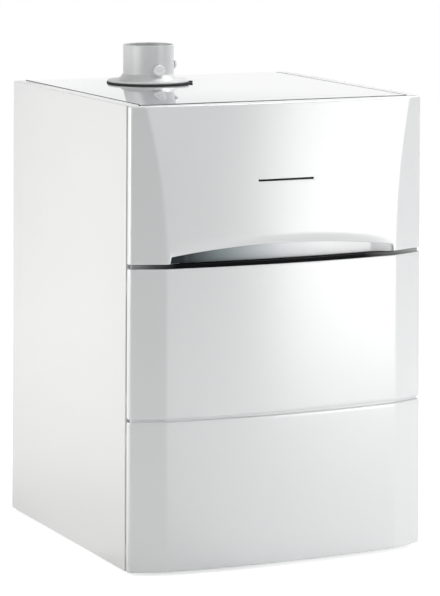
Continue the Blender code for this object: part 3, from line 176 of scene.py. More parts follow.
# %% [markdown]
# Blocks with rounded edges and bent pipes. Castings and mouldings have no sharp edges, so nearly every block
# is rounded a little. Pipes get their bends as arcs, because a bending machine makes them so.

# %% Blocks and pipes


def merged(mesh_data, part):
    mesh = bpy.data.meshes.new("part")
    part.to_mesh(mesh)
    part.free()
    mesh_data.from_mesh(mesh)
    bpy.data.meshes.remove(mesh)
    return mesh_data


def rounded(mesh_data, bevel, segments, edges=None):
    # Rounds the named edges over, or else all of them
    edges = edges or mesh_data.edges[:]
    bmesh.ops.bevel(mesh_data, geom=edges, offset=bevel, segments=segments, profile=0.5, affect="EDGES")


def block(low, high, bevel=0.0, segments=3, mesh_data=None):
    # A box with rounded edges, added to the mesh data when one is given
    part = bmesh.new()
    outline = [(low[0], low[1]), (high[0], low[1]), (high[0], high[1]), (low[0], high[1])]
    prism(outline, low[2], high[2], "z", part)
    bmesh.ops.recalc_face_normals(part, faces=part.faces)
    if bevel:
        rounded(part, bevel, segments)
    return merged(mesh_data, part) if mesh_data else part


def tube(path, radius, wall, steps):
    # A pipe along a path, with open ends
    path = [Vector(point) for point in path]
    across = (path[1] - path[0]).orthogonal().normalized()
    outer, inner = [], []
    for i, point in enumerate(path):
        ahead = (path[min(i + 1, len(path) - 1)] - point).normalized()
        past = (point - path[max(i - 1, 0)]).normalized()
        now = (ahead + past).normalized()
        across = (across - now * across.dot(now)).normalized()
        third = now.cross(across)
        angles = [math.tau * k / steps for k in range(steps)]
        ring = [across * math.cos(angle) + third * math.sin(angle) for angle in angles]
        outer.append([point + spoke * radius for spoke in ring])
        inner.append([point + spoke * (radius - wall) for spoke in ring])
    return loft(outer + inner[::-1] + outer[:1], closed=True)


def rounded_path(corners, bend, steps):
    # Straight runs with an arc of radius bend at each corner, as a pipe is bent round a former
    corners = [Vector(point) for point in corners]
    path = [corners[0]]
    for before, corner, after in zip(corners, corners[1:], corners[2:]):
        one, two = (before - corner).normalized(), (after - corner).normalized()
        reach = bend / math.tan(one.angle(two) / 2)
        centre = corner + (one + two).normalized() * (bend / math.sin(one.angle(two) / 2))
        start, end = corner + one * reach - centre, corner + two * reach - centre
        sweep = start.angle(end)
        for i in range(steps + 1):
            share = i / steps
            mix = start * math.sin((1 - share) * sweep) + end * math.sin(share * sweep)
            path.append(centre + mix / math.sin(sweep))
    path.append(corners[-1])
    return path


sample = block((0, 0, 0), (0.01, 0.01, 0.01), 0.001, 2)
print("a rounded block has", len(sample.faces), "faces")
sample.free()

# %% [markdown]
# Helpers for shader nodes. They keep each material readable as a short list of what feeds what.

# %% Node helpers


def feed(made, inputs):
    # Sets a node's inputs: an output of another node is linked, anything else is a constant
    for key, value in inputs.items():
        if isinstance(value, bpy.types.NodeSocket):
            made.id_data.links.new(value, made.inputs[key])
        else:
            made.inputs[key].default_value = value
    return made


def add_node(tree, kind, inputs, operation=None):
    made = tree.nodes.new("ShaderNode" + kind)
    if operation:
        made.operation = operation
    return feed(made, inputs)


def combine(tree, operation, one, two):
    return add_node(tree, "Math", {0: one, 1: two}, operation).outputs[0]


def map_range(tree, value, source, target):
    # Maps the source range to the target range, and stops at both ends
    ends = {"From Min": source[0], "From Max": source[1], "To Min": target[0], "To Max": target[1]}
    return add_node(tree, "MapRange", {"Value": value, **ends}).outputs["Result"]


print("node helpers ready in Blender", bpy.app.version_string)

# %% [markdown]
# The camera stands where it stood for the photograph: 1.4 m high, 6 m away, 25 degrees to the left of the
# front, with a long lens. The photo's upright edges are parallel, so the line of sight is level and the
# picture is moved down, as with a lens that slides on its camera. Blender has a lens shift for this, but it
# would stay set in every other view and push the boiler out of the picture. The camera therefore hangs from
# a tripod with an unequal scale, which shears the view in the same way and is dropped in other views.

# %% Camera
# Fitted to 90 points of the photo, in pixels of its 596 lines
PHOTO_HEIGHT, FOCAL_PX, RISE_PX = 596, 3117.57, 483.62
CAMERA_PLACE = Vector((-2.5107, -5.4562, 1.3779))
YAW, ROLL = math.radians(24.7426), math.radians(0.2220)


def shear_turns(shear):
    # A shear is a turn, an unequal scale and a turn back: both angles, and the scale along the first axis
    lean = math.atan2(2, shear) / 2
    return lean, math.pi / 2 - lean, (shear + math.hypot(shear, 2)) / 2


def make_camera():
    level = Vector((math.cos(YAW), -math.sin(YAW), 0))
    back = Vector((-math.sin(YAW), -math.cos(YAW), 0))
    upright = Matrix((level, Z_AXIS, back)).transposed().to_4x4() @ Matrix.Rotation(ROLL, 4, "Z")
    shear = RISE_PX / FOCAL_PX
    first, second, stretch = shear_turns(shear)
    tripod = bpy.data.objects.new("tripod", None)
    tripod.matrix_world = (
        Matrix.Translation(CAMERA_PLACE) @ upright @ Matrix.Rotation(first, 4, "X")
        @ Matrix.Diagonal((1, stretch, 1 / stretch, 1))
    )
    data = bpy.data.cameras.new("camera")
    data.sensor_fit = "VERTICAL"
    data.sensor_height = 36.0
    data.lens = data.sensor_height * FOCAL_PX * math.hypot(1, shear) / PHOTO_HEIGHT
    data.clip_end = 200
    item = bpy.data.objects.new("camera", data)
    item.parent = tripod
    item.rotation_mode = "QUATERNION"
    item.rotation_quaternion = Matrix.Rotation(-second, 3, "X").to_quaternion()
    for each in (tripod, item):
        bpy.context.scene.collection.objects.link(each)
    bpy.context.scene.camera = item
    print("lens", round(data.lens, 1), "mm, rise", round(shear, 3))


make_camera()

# %% [markdown]
# Soft studio light, as on a product photograph: large square lamps to the right, overhead and to the left
# rear, and weak light from the front. Their powers were set by comparing tones with the photo.

# %% Lamps
AIM = Vector((0, 0, 0.42))
WARM, NEUTRAL, COOL = (1.0, 0.99, 0.97), (1.0, 0.99, 0.98), (0.90, 0.97, 1.0)
LAMPS = [
    # name, azimuth from -Y towards +X, elevation, distance, size, watts, colour
    ("front", 0, 20, 3.5, 1.6, 10.5, COOL),
    ("low_right", 35, 0, 2.6, 1.3, 20.5, NEUTRAL),
    ("high_right", 45, 20, 2.6, 1.0, 1.8, NEUTRAL),
    ("rear_left", -125, 12, 4.0, 2.4, 13, WARM),
    ("near_left", -83, 13, 1.6, 1.0, 10.8, WARM),
    ("high_left", -98, 30, 1.8, 1.0, 3.5, WARM),
    ("overhead_right", 90, 60, 3.5, 2.4, 110, NEUTRAL),
]

for name, azimuth, elevation, distance, size, watts, colour in LAMPS:
    turn, rise = math.radians(azimuth), math.radians(elevation)
    way = Vector((math.sin(turn) * math.cos(rise), -math.cos(turn) * math.cos(rise), math.sin(rise)))
    lamp = bpy.data.lights.new(name, "AREA")
    lamp.shape = "SQUARE"
    lamp.size = size
    lamp.energy = watts
    lamp.color = colour
    item = bpy.data.objects.new(name, lamp)
    bpy.context.scene.collection.objects.link(item)
    item.location = AIM + way * distance
    item.rotation_euler = (-way).to_track_quat("-Z", "Y").to_euler()
print(len(LAMPS), "lamps,", sum(entry[5] for entry in LAMPS), "W")

# %% [markdown]
# The world and the floor are white to the camera and to reflections, and give no light of their own to the
# scene. The floor grows brighter with the distance, so that the shadow beside the boiler stays and the rest
# fades to white. To reflections it is darker towards the front left. That stands for a black flag, the dark
# board that a studio puts there, and it makes the facets at the panels' sides stand out.

# %% World and floor
AMBIENT = 0.0
FLOOR_HALF, FLOOR_Z, FLOOR_COLOUR = 60, -0.0005, (0.90, 0.90, 0.90, 1)
FLOOR_RAYS = (
    # ray, distances in metres between which the floor turns white, its brightness before them
    ("Is Camera Ray", (0.7, 2.4), 0.62),
    ("Is Glossy Ray", (0.5, 2.3), 0.48),
)
FLAG_AZIMUTH = math.radians(-40)
# Cosines of the angles at which the flag begins and is full, and the brightness that it leaves
FLAG_EDGE, FLAG_DARK = (0.82, 0.93), 0.10


def seen_directly(tree):
    # 1 for camera, glossy and transmission rays
    path = add_node(tree, "LightPath", {})
    total = path.outputs["Is Camera Ray"]
    for name in ("Is Glossy Ray", "Is Transmission Ray"):
        total = combine(tree, "MAXIMUM", total, path.outputs[name])
    return total


def make_world():
    world = bpy.data.worlds.new("world")
    bpy.context.scene.world = world
    world.use_nodes = True
    tree = world.node_tree
    strength = map_range(tree, seen_directly(tree), (0, 1), (AMBIENT, 1.0))
    feed(tree.nodes["Background"], {"Color": (1, 1, 1, 1), "Strength": strength})


def flagged(tree, place, amount):
    unit = add_node(tree, "VectorMath", {0: place}, "NORMALIZE").outputs["Vector"]
    flag = (math.sin(FLAG_AZIMUTH), -math.cos(FLAG_AZIMUTH), 0)
    towards = add_node(tree, "VectorMath", {0: unit, 1: flag}, "DOT_PRODUCT").outputs["Value"]
    return combine(tree, "MULTIPLY", amount, map_range(tree, towards, FLAG_EDGE, (1.0, FLAG_DARK)))


def floor_glow(tree):
    place = add_node(tree, "TexCoord", {}).outputs["Object"]
    distance = add_node(tree, "VectorMath", {0: place}, "LENGTH").outputs["Value"]
    path = add_node(tree, "LightPath", {})
    parts = []
    for ray, reach, near in FLOOR_RAYS:
        part = combine(tree, "MULTIPLY", path.outputs[ray], map_range(tree, distance, reach, (near, 1.0)))
        parts.append(flagged(tree, place, part) if ray == "Is Glossy Ray" else part)
    return combine(tree, "ADD", *parts)


def make_floor():
    data = bmesh.new()
    bmesh.ops.create_grid(data, x_segments=2, y_segments=2, size=FLOOR_HALF)
    mesh = bpy.data.meshes.new("floor")
    data.to_mesh(mesh)
    data.free()
    item = bpy.data.objects.new("floor", mesh)
    item.location.z = FLOOR_Z
    bpy.context.scene.collection.objects.link(item)
    material = bpy.data.materials.new("floor")
    material.use_nodes = True
    feed(material.node_tree.nodes["Principled BSDF"], {
        "Base Color": FLOOR_COLOUR,
        "Roughness": 1.0,
        "Specular IOR Level": 0.0,
        "Emission Color": (1, 1, 1, 1),
        "Emission Strength": floor_glow(material.node_tree),
    })
    mesh.materials.append(material)
    print("floor", [round(side) for side in item.dimensions], "m")


make_world()
make_floor()
bpy.context.scene.view_settings.view_transform = "Standard"
print("view transform", bpy.context.scene.view_settings.view_transform)

# %% [markdown]
# Finishes. Each one is a node material in object coordinates: a base colour that varies a little, a
# roughness that varies a little and a fine bump at the scale of the real surface. Painted sheet and moulded
# plastic get a clear coat where the real surface has a sheen of its own.

# %% Finish recipe
BROAD_SCALE, BROAD_RANGE, FINE_RANGE = 9, (0.3, 0.7), (0.35, 0.65)
BUMP_HEIGHT = 0.0005


def finish(name, colour, roughness, metallic=0.0, grain=900.0, bump=0.02, vary=0.03, coat=0.0,
           stretch=(1, 1, 1), speck=0.0, uneven=0.1, **sockets):
    # grain is the fine noise's scale; vary, uneven and speck are how much the colour, the roughness and
    # fine spots change; sockets holds further inputs of the shader, with _ for a space
    material = bpy.data.materials.new(name)
    material.use_nodes = True
    tree = material.node_tree
    place = add_node(tree, "TexCoord", {}).outputs["Object"]
    place = add_node(tree, "Mapping", {"Vector": place, "Scale": stretch}).outputs["Vector"]
    fine = add_node(tree, "TexNoise", {"Vector": place, "Scale": grain, "Detail": 3}).outputs["Fac"]
    broad = add_node(tree, "TexNoise", {"Vector": place, "Scale": BROAD_SCALE}).outputs["Fac"]
    amount = map_range(tree, broad, BROAD_RANGE, (1 - vary, 1.0))
    if speck:
        amount = combine(tree, "MULTIPLY", amount, map_range(tree, fine, FINE_RANGE, (1 - speck, 1.0)))
    rough = (roughness * (1 - uneven), min(1.0, roughness * (1 + uneven)))
    lift = {"Strength": bump, "Distance": BUMP_HEIGHT, "Height": fine}
    feed(tree.nodes["Principled BSDF"], {
        "Base Color": add_node(tree, "VectorMath", {0: colour, "Scale": amount}, "SCALE").outputs["Vector"],
        "Roughness": map_range(tree, broad, BROAD_RANGE, rough),
        "Normal": add_node(tree, "Bump", lift).outputs["Normal"],
        "Metallic": metallic,
        "Coat Weight": coat,
        "Coat Roughness": 0.12 if coat else 0.03,
        **{socket.replace("_", " "): value for socket, value in sockets.items()},
    })
    MATERIALS[name] = material


print("bumps are up to", BUMP_HEIGHT * 1000, "mm high")

# %% [markdown]
# One line for each finish, with its colour, roughness and metallic share. The front's plastic is a little
# rougher than the side panels' paint under its coat, and the top cover mirrors the collar.

# %% Finishes
# The casing and the front
finish("white_paint", (0.80, 0.81, 0.815), 0.32, grain=1400, bump=0.01, vary=0.004, coat=0.4, uneven=0.02)
finish("gloss_paint", (0.49, 0.51, 0.53), 0.03, 0.9, grain=1400, bump=0.002, vary=0.004, coat=0.7,
       uneven=0.02, Coat_Roughness=0.02)
finish("white_plastic", (0.78, 0.79, 0.80), 0.34, grain=1100, bump=0.008, vary=0.004, uneven=0.02, coat=1.0,
       Coat_Roughness=0.26, Coat_IOR=1.9)
finish("collar_enamel", (0.70, 0.71, 0.715), 0.36, grain=1100, bump=0.008, vary=0.01, uneven=0.03, coat=0.25)
# Plastics and rubber
finish("grey_plastic", (0.36, 0.38, 0.40), 0.45, grain=2600, bump=0.10)
finish("dark_plastic", (0.035, 0.035, 0.038), 0.42, grain=2200, bump=0.08)
finish("black_gloss", (0.012, 0.012, 0.014), 0.30, bump=0.0, Specular_IOR_Level=0.1)
finish("seal_rubber_painted_light", (0.012, 0.012, 0.014), 0.30, bump=0.0, Specular_IOR_Level=0.1)
finish("black_rubber", (0.018, 0.018, 0.018), 0.75, grain=1800, bump=0.12)
# Metals
finish("galvanised", (0.55, 0.57, 0.58), 0.42, 0.85, grain=160, vary=0.10, speck=0.18)
finish("cast_aluminium", (0.60, 0.61, 0.62), 0.50, 0.85, grain=1500, bump=0.35, vary=0.08)
finish("cast_iron", (0.06, 0.075, 0.09), 0.55, 0.2, grain=1300, bump=0.35, vary=0.12)
finish("copper", (0.76, 0.38, 0.24), 0.30, 1.0, grain=700, bump=0.03, vary=0.14)
finish("brass", (0.72, 0.54, 0.26), 0.30, 1.0, bump=0.04, vary=0.10)
finish("steel", (0.60, 0.60, 0.61), 0.30, 1.0, bump=0.05, stretch=(1, 14, 1))
# Colours of single parts
finish("red_paint", (0.52, 0.035, 0.025), 0.32, grain=1200, bump=0.05, vary=0.06, coat=0.3)
finish("red_plastic", (0.60, 0.03, 0.02), 0.38, grain=2200, bump=0.06)
finish("yellow_plastic", (0.80, 0.56, 0.04), 0.40, grain=2200, bump=0.06)
finish("yellow_paint", (0.78, 0.54, 0.05), 0.35, grain=1200, bump=0.05, vary=0.06, coat=0.2)
finish("display_glass", (0.010, 0.014, 0.016), 0.08, grain=300, bump=0.0, coat=1.0)
finish("display_lit", (0.20, 0.34, 0.36), 0.35, grain=300, bump=0.0, vary=0.06,
       Emission_Color=(0.45, 0.75, 0.80, 1), Emission_Strength=0.12)
finish("circuit_green", (0.02, 0.16, 0.07), 0.35, bump=0.15, vary=0.12)
finish("satin_insert_painted_reflection", (0.5, 0.5, 0.5), 0.32, grain=1400, bump=0.01)
print(len(MATERIALS), "finishes:", *MATERIALS)

# %% [markdown]
# Two finishes change along the boiler's width, and both carry painted light. The satin insert of the finger
# recess carries a painted reflection of a dark part of the studio at its left and a bright one at its right.
# The seal under the
# flap carries painted highlights: it looks grey at both ends in the photo, where the light reaches it from
# the side.

# %% Finishes that change along X
# The seal's black, deeper than the other rubber's, is painted shade in the seam under the flap
SEAL_PAINTED_SHADE = (0.010, 0.011, 0.012)


def shade_along_x(material, stops):
    # Replaces a finish's base colour by painted light and shade, a blend along the object's X; its dark end
    # also reflects less
    tree = material.node_tree
    low, high = stops[0][0], stops[-1][0]
    place = add_node(tree, "TexCoord", {}).outputs["Object"]
    across = add_node(tree, "SeparateXYZ", {"Vector": place}).outputs["X"]
    ramp = add_node(tree, "ValToRGB", {"Fac": map_range(tree, across, (low, high), (0, 1))})
    elements = ramp.color_ramp.elements
    while len(elements) < len(stops):
        elements.new(0.5)
    for element, (x, colour) in zip(elements, stops):
        element.position = (x - low) / (high - low)
        element.color = (*colour, 1)
    colour = ramp.outputs["Color"]
    feed(tree.nodes["Principled BSDF"], {"Base Color": colour, "Specular IOR Level": colour})


# Painted reflection and shade on the recess insert: near black at the left, near white at the right
shade_along_x(MATERIALS["satin_insert_painted_reflection"], [
    (-0.234, (0.018, 0.025, 0.028)), (-0.199, (0.034, 0.045, 0.050)), (-0.126, (0.32, 0.37, 0.39)),
    (-0.003, (0.83, 0.86, 0.88)), (0.10, (0.95, 0.955, 0.96)), (0.234, (0.86, 0.87, 0.88)),
])
# Painted highlights on the seal: grey at both ends where side light reaches it, painted shade between
shade_along_x(MATERIALS["seal_rubber_painted_light"], [
    (-0.2985, (0.36, 0.37, 0.38)), (-0.255, (0.10, 0.11, 0.11)), (-0.215, SEAL_PAINTED_SHADE), (0.165, SEAL_PAINTED_SHADE),
    (0.225, (0.16, 0.16, 0.16)), (0.2985, (0.50, 0.50, 0.50)),
])

# The CAD nodes that stay visible take the finish that the record names for them
SLOTS = {entry["node"]: entry["material_slot"] for entry in frame["record"]["subparts"]}
for node, slot in SLOTS.items():
    for place in bpy.data.objects[node].material_slots:
        place.material = MATERIALS[slot]
print(len(SLOTS), "nodes dressed in", len(set(SLOTS.values())), "finishes")

# %% [markdown]
# The front's outline seen from above: a short side wall, a rounded corner, a flat facet, a soft crease and a
# shallow arc. The two lower panels keep one outline. On the flap the creases spread upwards and the arc
# grows flatter, so each height has an outline of its own. Lines of points carry these soft bends better
# than cut and blended solids would.

# %% Front outline
# Places across the arc, as shares of its half width, and the half width of the crease's soft bend
ARC = [-1 + 2 * i / 56 for i in range(57)]
CREASE_BEND, ARC_CLEAR = 0.004, 0.0055


def bezier(one, two, three, steps):
    points = []
    for i in range(steps + 1):
        t = i / steps
        points.append(tuple(
            (1 - t) ** 2 * one[k] + 2 * t * (1 - t) * two[k] + t * t * three[k] for k in range(2)
        ))
    return points


def between(one, two, share):
    return tuple(one[k] + (two[k] - one[k]) * share for k in range(2))


def front_half(crease, middle):
    # From the rear rim round the corner to just past the crease, as (x, forward) on the right side
    slope = (CREASE[1] - CORNER[1]) / (CORNER[0] - CREASE[0])
    edge = (crease, CORNER[1] + (CORNER[0] - crease) * slope)
    knee = (SIDE_X, CORNER[1] - (SIDE_X - CORNER[0]) * slope)
    points = [(SIDE_X, RIM), (SIDE_X, (RIM + CORNER_START) / 2)]
    points += bezier((SIDE_X, CORNER_START), knee, CORNER, 6)
    stop = between(edge, CORNER, CREASE_BEND / math.dist(CORNER, edge))
    points += [between(CORNER, stop, share) for share in (0.04, 0.3, 0.6, 0.96)]
    past_x = crease - CREASE_BEND
    past = (past_x, edge[1] + (middle - edge[1]) * (1 - (past_x / crease) ** 2))
    points += bezier(stop, edge, past, 4)
    return points, edge[1]


def whole_front(side, arc):
    # Mirrors the side's points, puts the arc between them and turns forward into -Y
    left = [(-x, forward) for x, forward in side]
    return [(x, FRONT - forward) for x, forward in left + arc + side[::-1]]


def front_line(crease, middle):
    side, edge_forward = front_half(crease, middle)
    inside = [share for share in ARC if abs(share) * crease < crease - ARC_CLEAR]
    arc = [(crease * s, edge_forward + (middle - edge_forward) * (1 - s * s)) for s in inside]
    return whole_front(side, arc)


PANEL_LINE = front_line(CREASE[0], BOW)
print("the lower panels' outline has", len(PANEL_LINE), "points, from", PANEL_LINE[0], "to", PANEL_LINE[-1])

# %% [markdown]
# An outline can be moved inwards by a wall's thickness and set at a height. Rows that move inwards along a
# quarter circle round an edge over.

# %% Outline rows


def inset(points, distance):
    # Moves an open outline inwards, towards +Y and the middle, with mitred corners
    moved = []
    for i, (x, y) in enumerate(points):
        normals = []
        for one, two in ((i - 1, i), (i, i + 1)):
            if one >= 0 and two < len(points):
                along = Vector((points[two][0] - points[one][0], points[two][1] - points[one][1]))
                if along.length > 1e-9:
                    along.normalize()
                    normals.append(Vector((-along.y, along.x)))
        total = sum(normals, Vector((0, 0)))
        shift = total * (distance * len(normals) / total.dot(total))
        moved.append((x + shift.x, y + shift.y))
    return moved


def row_at(points, z):
    return [Vector((x, y, z)) for x, y in points]


def to_rim(points):
    return [(x, FRONT - RIM) for x, _ in points]


def edge_rows(line, radius, z, way, steps=4):
    # Rows that round an edge over from the flat end at z to the face; way is +1 below, -1 above
    rows = []
    for i in range(steps + 1):
        angle = math.pi / 2 * i / steps
        height = z + way * radius * (1 - math.cos(angle))
        rows.append(row_at(inset(line, radius * (1 - math.sin(angle))), height))
    return rows


print("a 2 mm edge is rounded over in", len(edge_rows(PANEL_LINE, 0.002, 0, 1)), "rows")

# %% [markdown]
# The middle and lower front panels: thin moulded shells with rounded edges. Behind each one are four clips
# that hook on the casing and five upright stiffening ribs. The lower panel has a recessed lip on top that
# closes the seam above it.

# %% Front panels
WALL, EDGE = 0.0025, 0.0022
CLIP_LONG, CLIP_HIGH, CLIP_DEEP = 0.012, 0.020, 0.008
# How far the clips' lower edges are above the panel's foot and below its top
CLIP_UP, CLIP_DOWN = 0.025, 0.045
RIB_PLACES, RIB_DEEP, RIB_HALF = (-0.20, -0.10, 0.0, 0.10, 0.20), 0.012, 0.001
LIP_FACE, LIP_BACK, LIP_FOOT = 0.0060, 0.0072, 0.003


def front_panel(name, low, high, lip):
    line = PANEL_LINE
    inner = inset(line, WALL)
    rim, inner_rim = to_rim(inset(line, EDGE)), to_rim(inner)
    face = [row_at(line, low + EDGE + (high - low - 2 * EDGE) * share) for share in (0.02, 0.5, 0.98)]
    data = strip([
        row_at(inner_rim, low + WALL), row_at(rim, low), *edge_rows(line, EDGE, low, 1), *face,
        *edge_rows(line, EDGE, high, -1)[::-1], row_at(rim, high), row_at(inner_rim, high - WALL),
        row_at(inner, high - WALL), row_at(inner, low + WALL),
    ])
    for side in (-1, 1):
        outer = side * (SIDE_X - WALL / 2)
        ends = sorted((outer, outer - side * CLIP_LONG))
        for z in (low + CLIP_UP, high - CLIP_DOWN):
            clip = (ends[0], FRONT - CLIP_DEEP, z), (ends[1], FRONT - GAP, z + CLIP_HIGH)
            block(*clip, 0.0015, 2, data)
    for x in RIB_PLACES:
        y = min(inner, key=lambda point: abs(point[0] - x))[1]
        depth = min(y + RIB_DEEP, FRONT - RIM - 0.001)
        block((x - RIB_HALF, y - 0.0008, low + WALL), (x + RIB_HALF, depth, high - WALL), 0.0004, 1, data)
    if lip:
        lip_face, lip_back = inset(line, LIP_FACE), inset(line, LIP_BACK)
        foot = high - LIP_FOOT
        loft([row_at(lip_face, foot), row_at(lip_face, high + lip),
              row_at(lip_back, high + lip), row_at(lip_back, foot)], data)
    node = name.replace("_shell", "")
    return piece(name, data, "white_plastic", node, [node], 32)


front_panel("lower_front_panel_shell", BOTTOM, 0.2775, 0.0045)
front_panel("middle_front_panel_shell", 0.2825, 0.5545, 0)
print("middle front panel", extent("middle_front_panel_shell"), "mm")

# %% [markdown]
# A rubber seal on the middle panel's top edge closes the seam under the flap. It would be an extruded
# profile, pressed onto the edge. Its tongue reaches back under the finger recess and keeps the inside dark.
# Its black is deeper than the other rubber's, as painted shade in the seam, and its ends carry painted
# highlights.
# Both sections are drawn as (inset from the outline, height above the panel) and carried along the front.

# %% Panel seal
SEAL_SECTION = (
    (0.0020, -0.0012), (0.0017, 0.0010), (0.0050, 0.0014), (0.0056, 0.0066), (0.0084, 0.0068),
    (0.0086, -0.0030), (0.0060, -0.0030),
)
TONGUE_SECTION = ((0.0082, 0.0052), (0.0082, 0.0066), (0.0225, 0.0066), (0.0225, 0.0052))
TONGUE_HALF = CREASE[0] - 0.012


def gap_seal(high):
    data = strip([row_at(inset(PANEL_LINE, depth), high + rise) for depth, rise in SEAL_SECTION])
    middle = [point for point in PANEL_LINE if abs(point[0]) < TONGUE_HALF]
    strip([row_at(inset(middle, depth), high + rise) for depth, rise in TONGUE_SECTION], data)
    piece("middle_panel_seal", data, "seal_rubber_painted_light", "middle_front_panel", angle=40)


gap_seal(0.5545)
print("seal", extent("middle_panel_seal"), "mm")

# %% [markdown]
# The control flap is one moulding. Along its lower edge a finger recess goes in under an arch, and the face
# curls in softly above it. The status light's slit sits in a shallow dent that tapers to both sides.
# This cell holds the measures of these forms, each as a function of the place on the flap.

# %% Flap measures
ARCH_END, ARCH_MIDDLE = 0.0117, 0.0291
RECESS_DEPTH, RECESS_END = 0.020, 0.004
RECESS_FLAT, RECESS_HALF = 0.187, CREASE[0] - 0.0062
CURL, CURL_HEIGHT, LIP = 0.0068, 0.026, 0.0014
DENT_REACH, DENT_HALF, DENT_DEPTH = 0.074, 0.0075, 0.00045
SLIT_LOW, SLIT_TOP = SLIT_Z - SLIT_HEIGHT / 2, SLIT_Z + SLIT_HEIGHT / 2


def flap_size(z):
    # Where the crease is and how far the arc's middle stands forward
    up = (z - FLAP_LOW) / (FLAP_HIGH - FLAP_LOW)
    return CREASE[0] + FLARE * up * up, BOW + (BOW_TOP - BOW) * up


def flap_shares():
    # Places across the arc, with extra ones at the recess's, the dent's and the slit's ends
    crease = flap_size(SLIT_Z)[0]
    extra = [x / crease for x in (SLIT_LENGTH / 2, 0.059, 0.062, 0.066, 0.070, DENT_REACH)]
    extra += [RECESS_FLAT / CREASE[0], 0.9745, 0.985]
    shares = [
        share for share in ARC
        if abs(share) < 0.97 and min(abs(abs(share) - each) for each in extra) > 0.008
    ]
    return sorted(shares + extra + [-share for share in extra])


SHARES = flap_shares()


def flap_outline(z):
    # As front_line, but every share is kept, and the last two lie close to the creases
    crease, middle = flap_size(z)
    side, edge_forward = front_half(crease, middle)
    inside = crease - 0.0045
    arc = []
    for share in SHARES:
        x = max(-inside, min(inside, crease * share))
        arc.append((x, edge_forward + (middle - edge_forward) * (1 - (x / crease) ** 2)))
    return whole_front(side, arc)


FLAP_FOOT = flap_outline(FLAP_LOW)


def arch(x):
    # The height of the recess's upper edge
    return FLAP_LOW + ARCH_MIDDLE - (ARCH_MIDDLE - ARCH_END) * (x / CREASE[0]) ** 2


def recess(x):
    # How deep the recess goes in behind the face; 0 beside it
    if abs(x) > RECESS_HALF:
        return 0
    if abs(x) <= RECESS_FLAT:
        return RECESS_DEPTH
    share = (RECESS_HALF - abs(x)) / (RECESS_HALF - RECESS_FLAT)
    return RECESS_END + (RECESS_DEPTH - RECESS_END) * share


def curl(x):
    # How far the face turns in above the arch; it fades out towards both creases
    return CURL * (1 - min(1, abs(x / CREASE[0])) ** 3)


def dent(x, z):
    # How deep the dent round the slit is
    along = 1 - (x / DENT_REACH) ** 2
    if along <= 0:
        return 0
    across = 1 - abs(z - SLIT_Z) / (DENT_HALF * along ** 0.5)
    return DENT_DEPTH * min(1, along * 2.5) * across * across * (3 - 2 * across) if across > 0 else 0


print("recess", round(2 * RECESS_HALF, 4), "wide, arch", round(arch(0) - FLAP_LOW, 4), "high")
print("the flap's arc has", len(SHARES), "places")

# %% [markdown]
# The flap's skins, the face and the back, as rows of points from the lower rim up to the top rim. All rows
# have the same columns, so the recess, the curl and the dent flow into the face without a seam.

# %% Flap skins
CURL_TOP, CURL_STEPS = FLAP_LOW + ARCH_MIDDLE + LIP + CURL_HEIGHT, 12
DENT_RANGE = 0.012
# Heights across the dent, in metres from the slit's middle, and of the back's rows
DENT_ROWS = (-0.009, -0.0075, -0.006, -0.0045, -0.003, -0.002, 0.002, 0.003, 0.0045, 0.006, 0.0075, 0.009,
             DENT_RANGE)
BACK_ROWS = (0.625, 0.665, SLIT_LOW, SLIT_TOP, 0.76, 0.80, FLAP_HIGH - WALL)


def transposed(columns):
    return [list(row) for row in zip(*columns)]


def flap_foot_face():
    # Over the recess: along its floor, up its back and round the lip. Beside it: round the flap's edge
    edges = edge_rows(FLAP_FOOT, EDGE, FLAP_LOW, 1)
    rim = to_rim(inset(FLAP_FOOT, EDGE))
    columns = []
    for i, (x, y) in enumerate(FLAP_FOOT):
        if recess(x):
            z, floor, face = arch(x), y + recess(x), y + curl(x)
            columns.append([
                (x, FRONT - RIM, FLAP_LOW), (x, floor, FLAP_LOW), (x, floor, z - LIP),
                (x, floor - LIP * 0.4, z - LIP * 0.2), (x, face + LIP, z),
                (x, face + LIP * 0.5, z + LIP * 0.13), (x, face + LIP * 0.13, z + LIP * 0.5),
                (x, face, z + LIP),
            ])
        else:
            columns.append([
                (*rim[i], FLAP_LOW), *[tuple(row[i]) for row in edges],
                (x, y, FLAP_LOW + 0.006), (x, y, FLAP_LOW + ARCH_END + LIP),
            ])
    return transposed(columns)


def flap_curl(start):
    # From the lip's heights up to one level row, with the curl fading out on the way
    columns = []
    for i, (foot_x, _) in enumerate(FLAP_FOOT):
        column = []
        for step in range(1, CURL_STEPS + 1):
            z = start[i] + (CURL_TOP - start[i]) * (step / CURL_STEPS) ** 1.2
            x, y = flap_outline(z)[i]
            above = max(0, 1 - (z - start[i]) / CURL_HEIGHT)
            column.append((x, y + (curl(x) * above ** 3 if recess(foot_x) else 0), z))
        columns.append(column)
    return transposed(columns)


def flap_face():
    rows = flap_foot_face()
    rows += flap_curl([point[2] for point in rows[-1]])
    heights = [CURL_TOP + (SLIT_Z - DENT_RANGE - CURL_TOP) * i / 6 for i in range(1, 7)]
    heights += [SLIT_Z + offset for offset in DENT_ROWS]
    heights += [SLIT_Z + DENT_RANGE + (FLAP_HIGH - EDGE - SLIT_Z - DENT_RANGE) * i / 8 for i in range(1, 9)]
    rows += [[(x, y + dent(x, z), z) for x, y in flap_outline(z)] for z in heights]
    top = flap_outline(FLAP_HIGH)
    rows += edge_rows(top, EDGE, FLAP_HIGH, -1)[::-1]
    rows.append(row_at(to_rim(inset(top, EDGE)), FLAP_HIGH))
    return rows


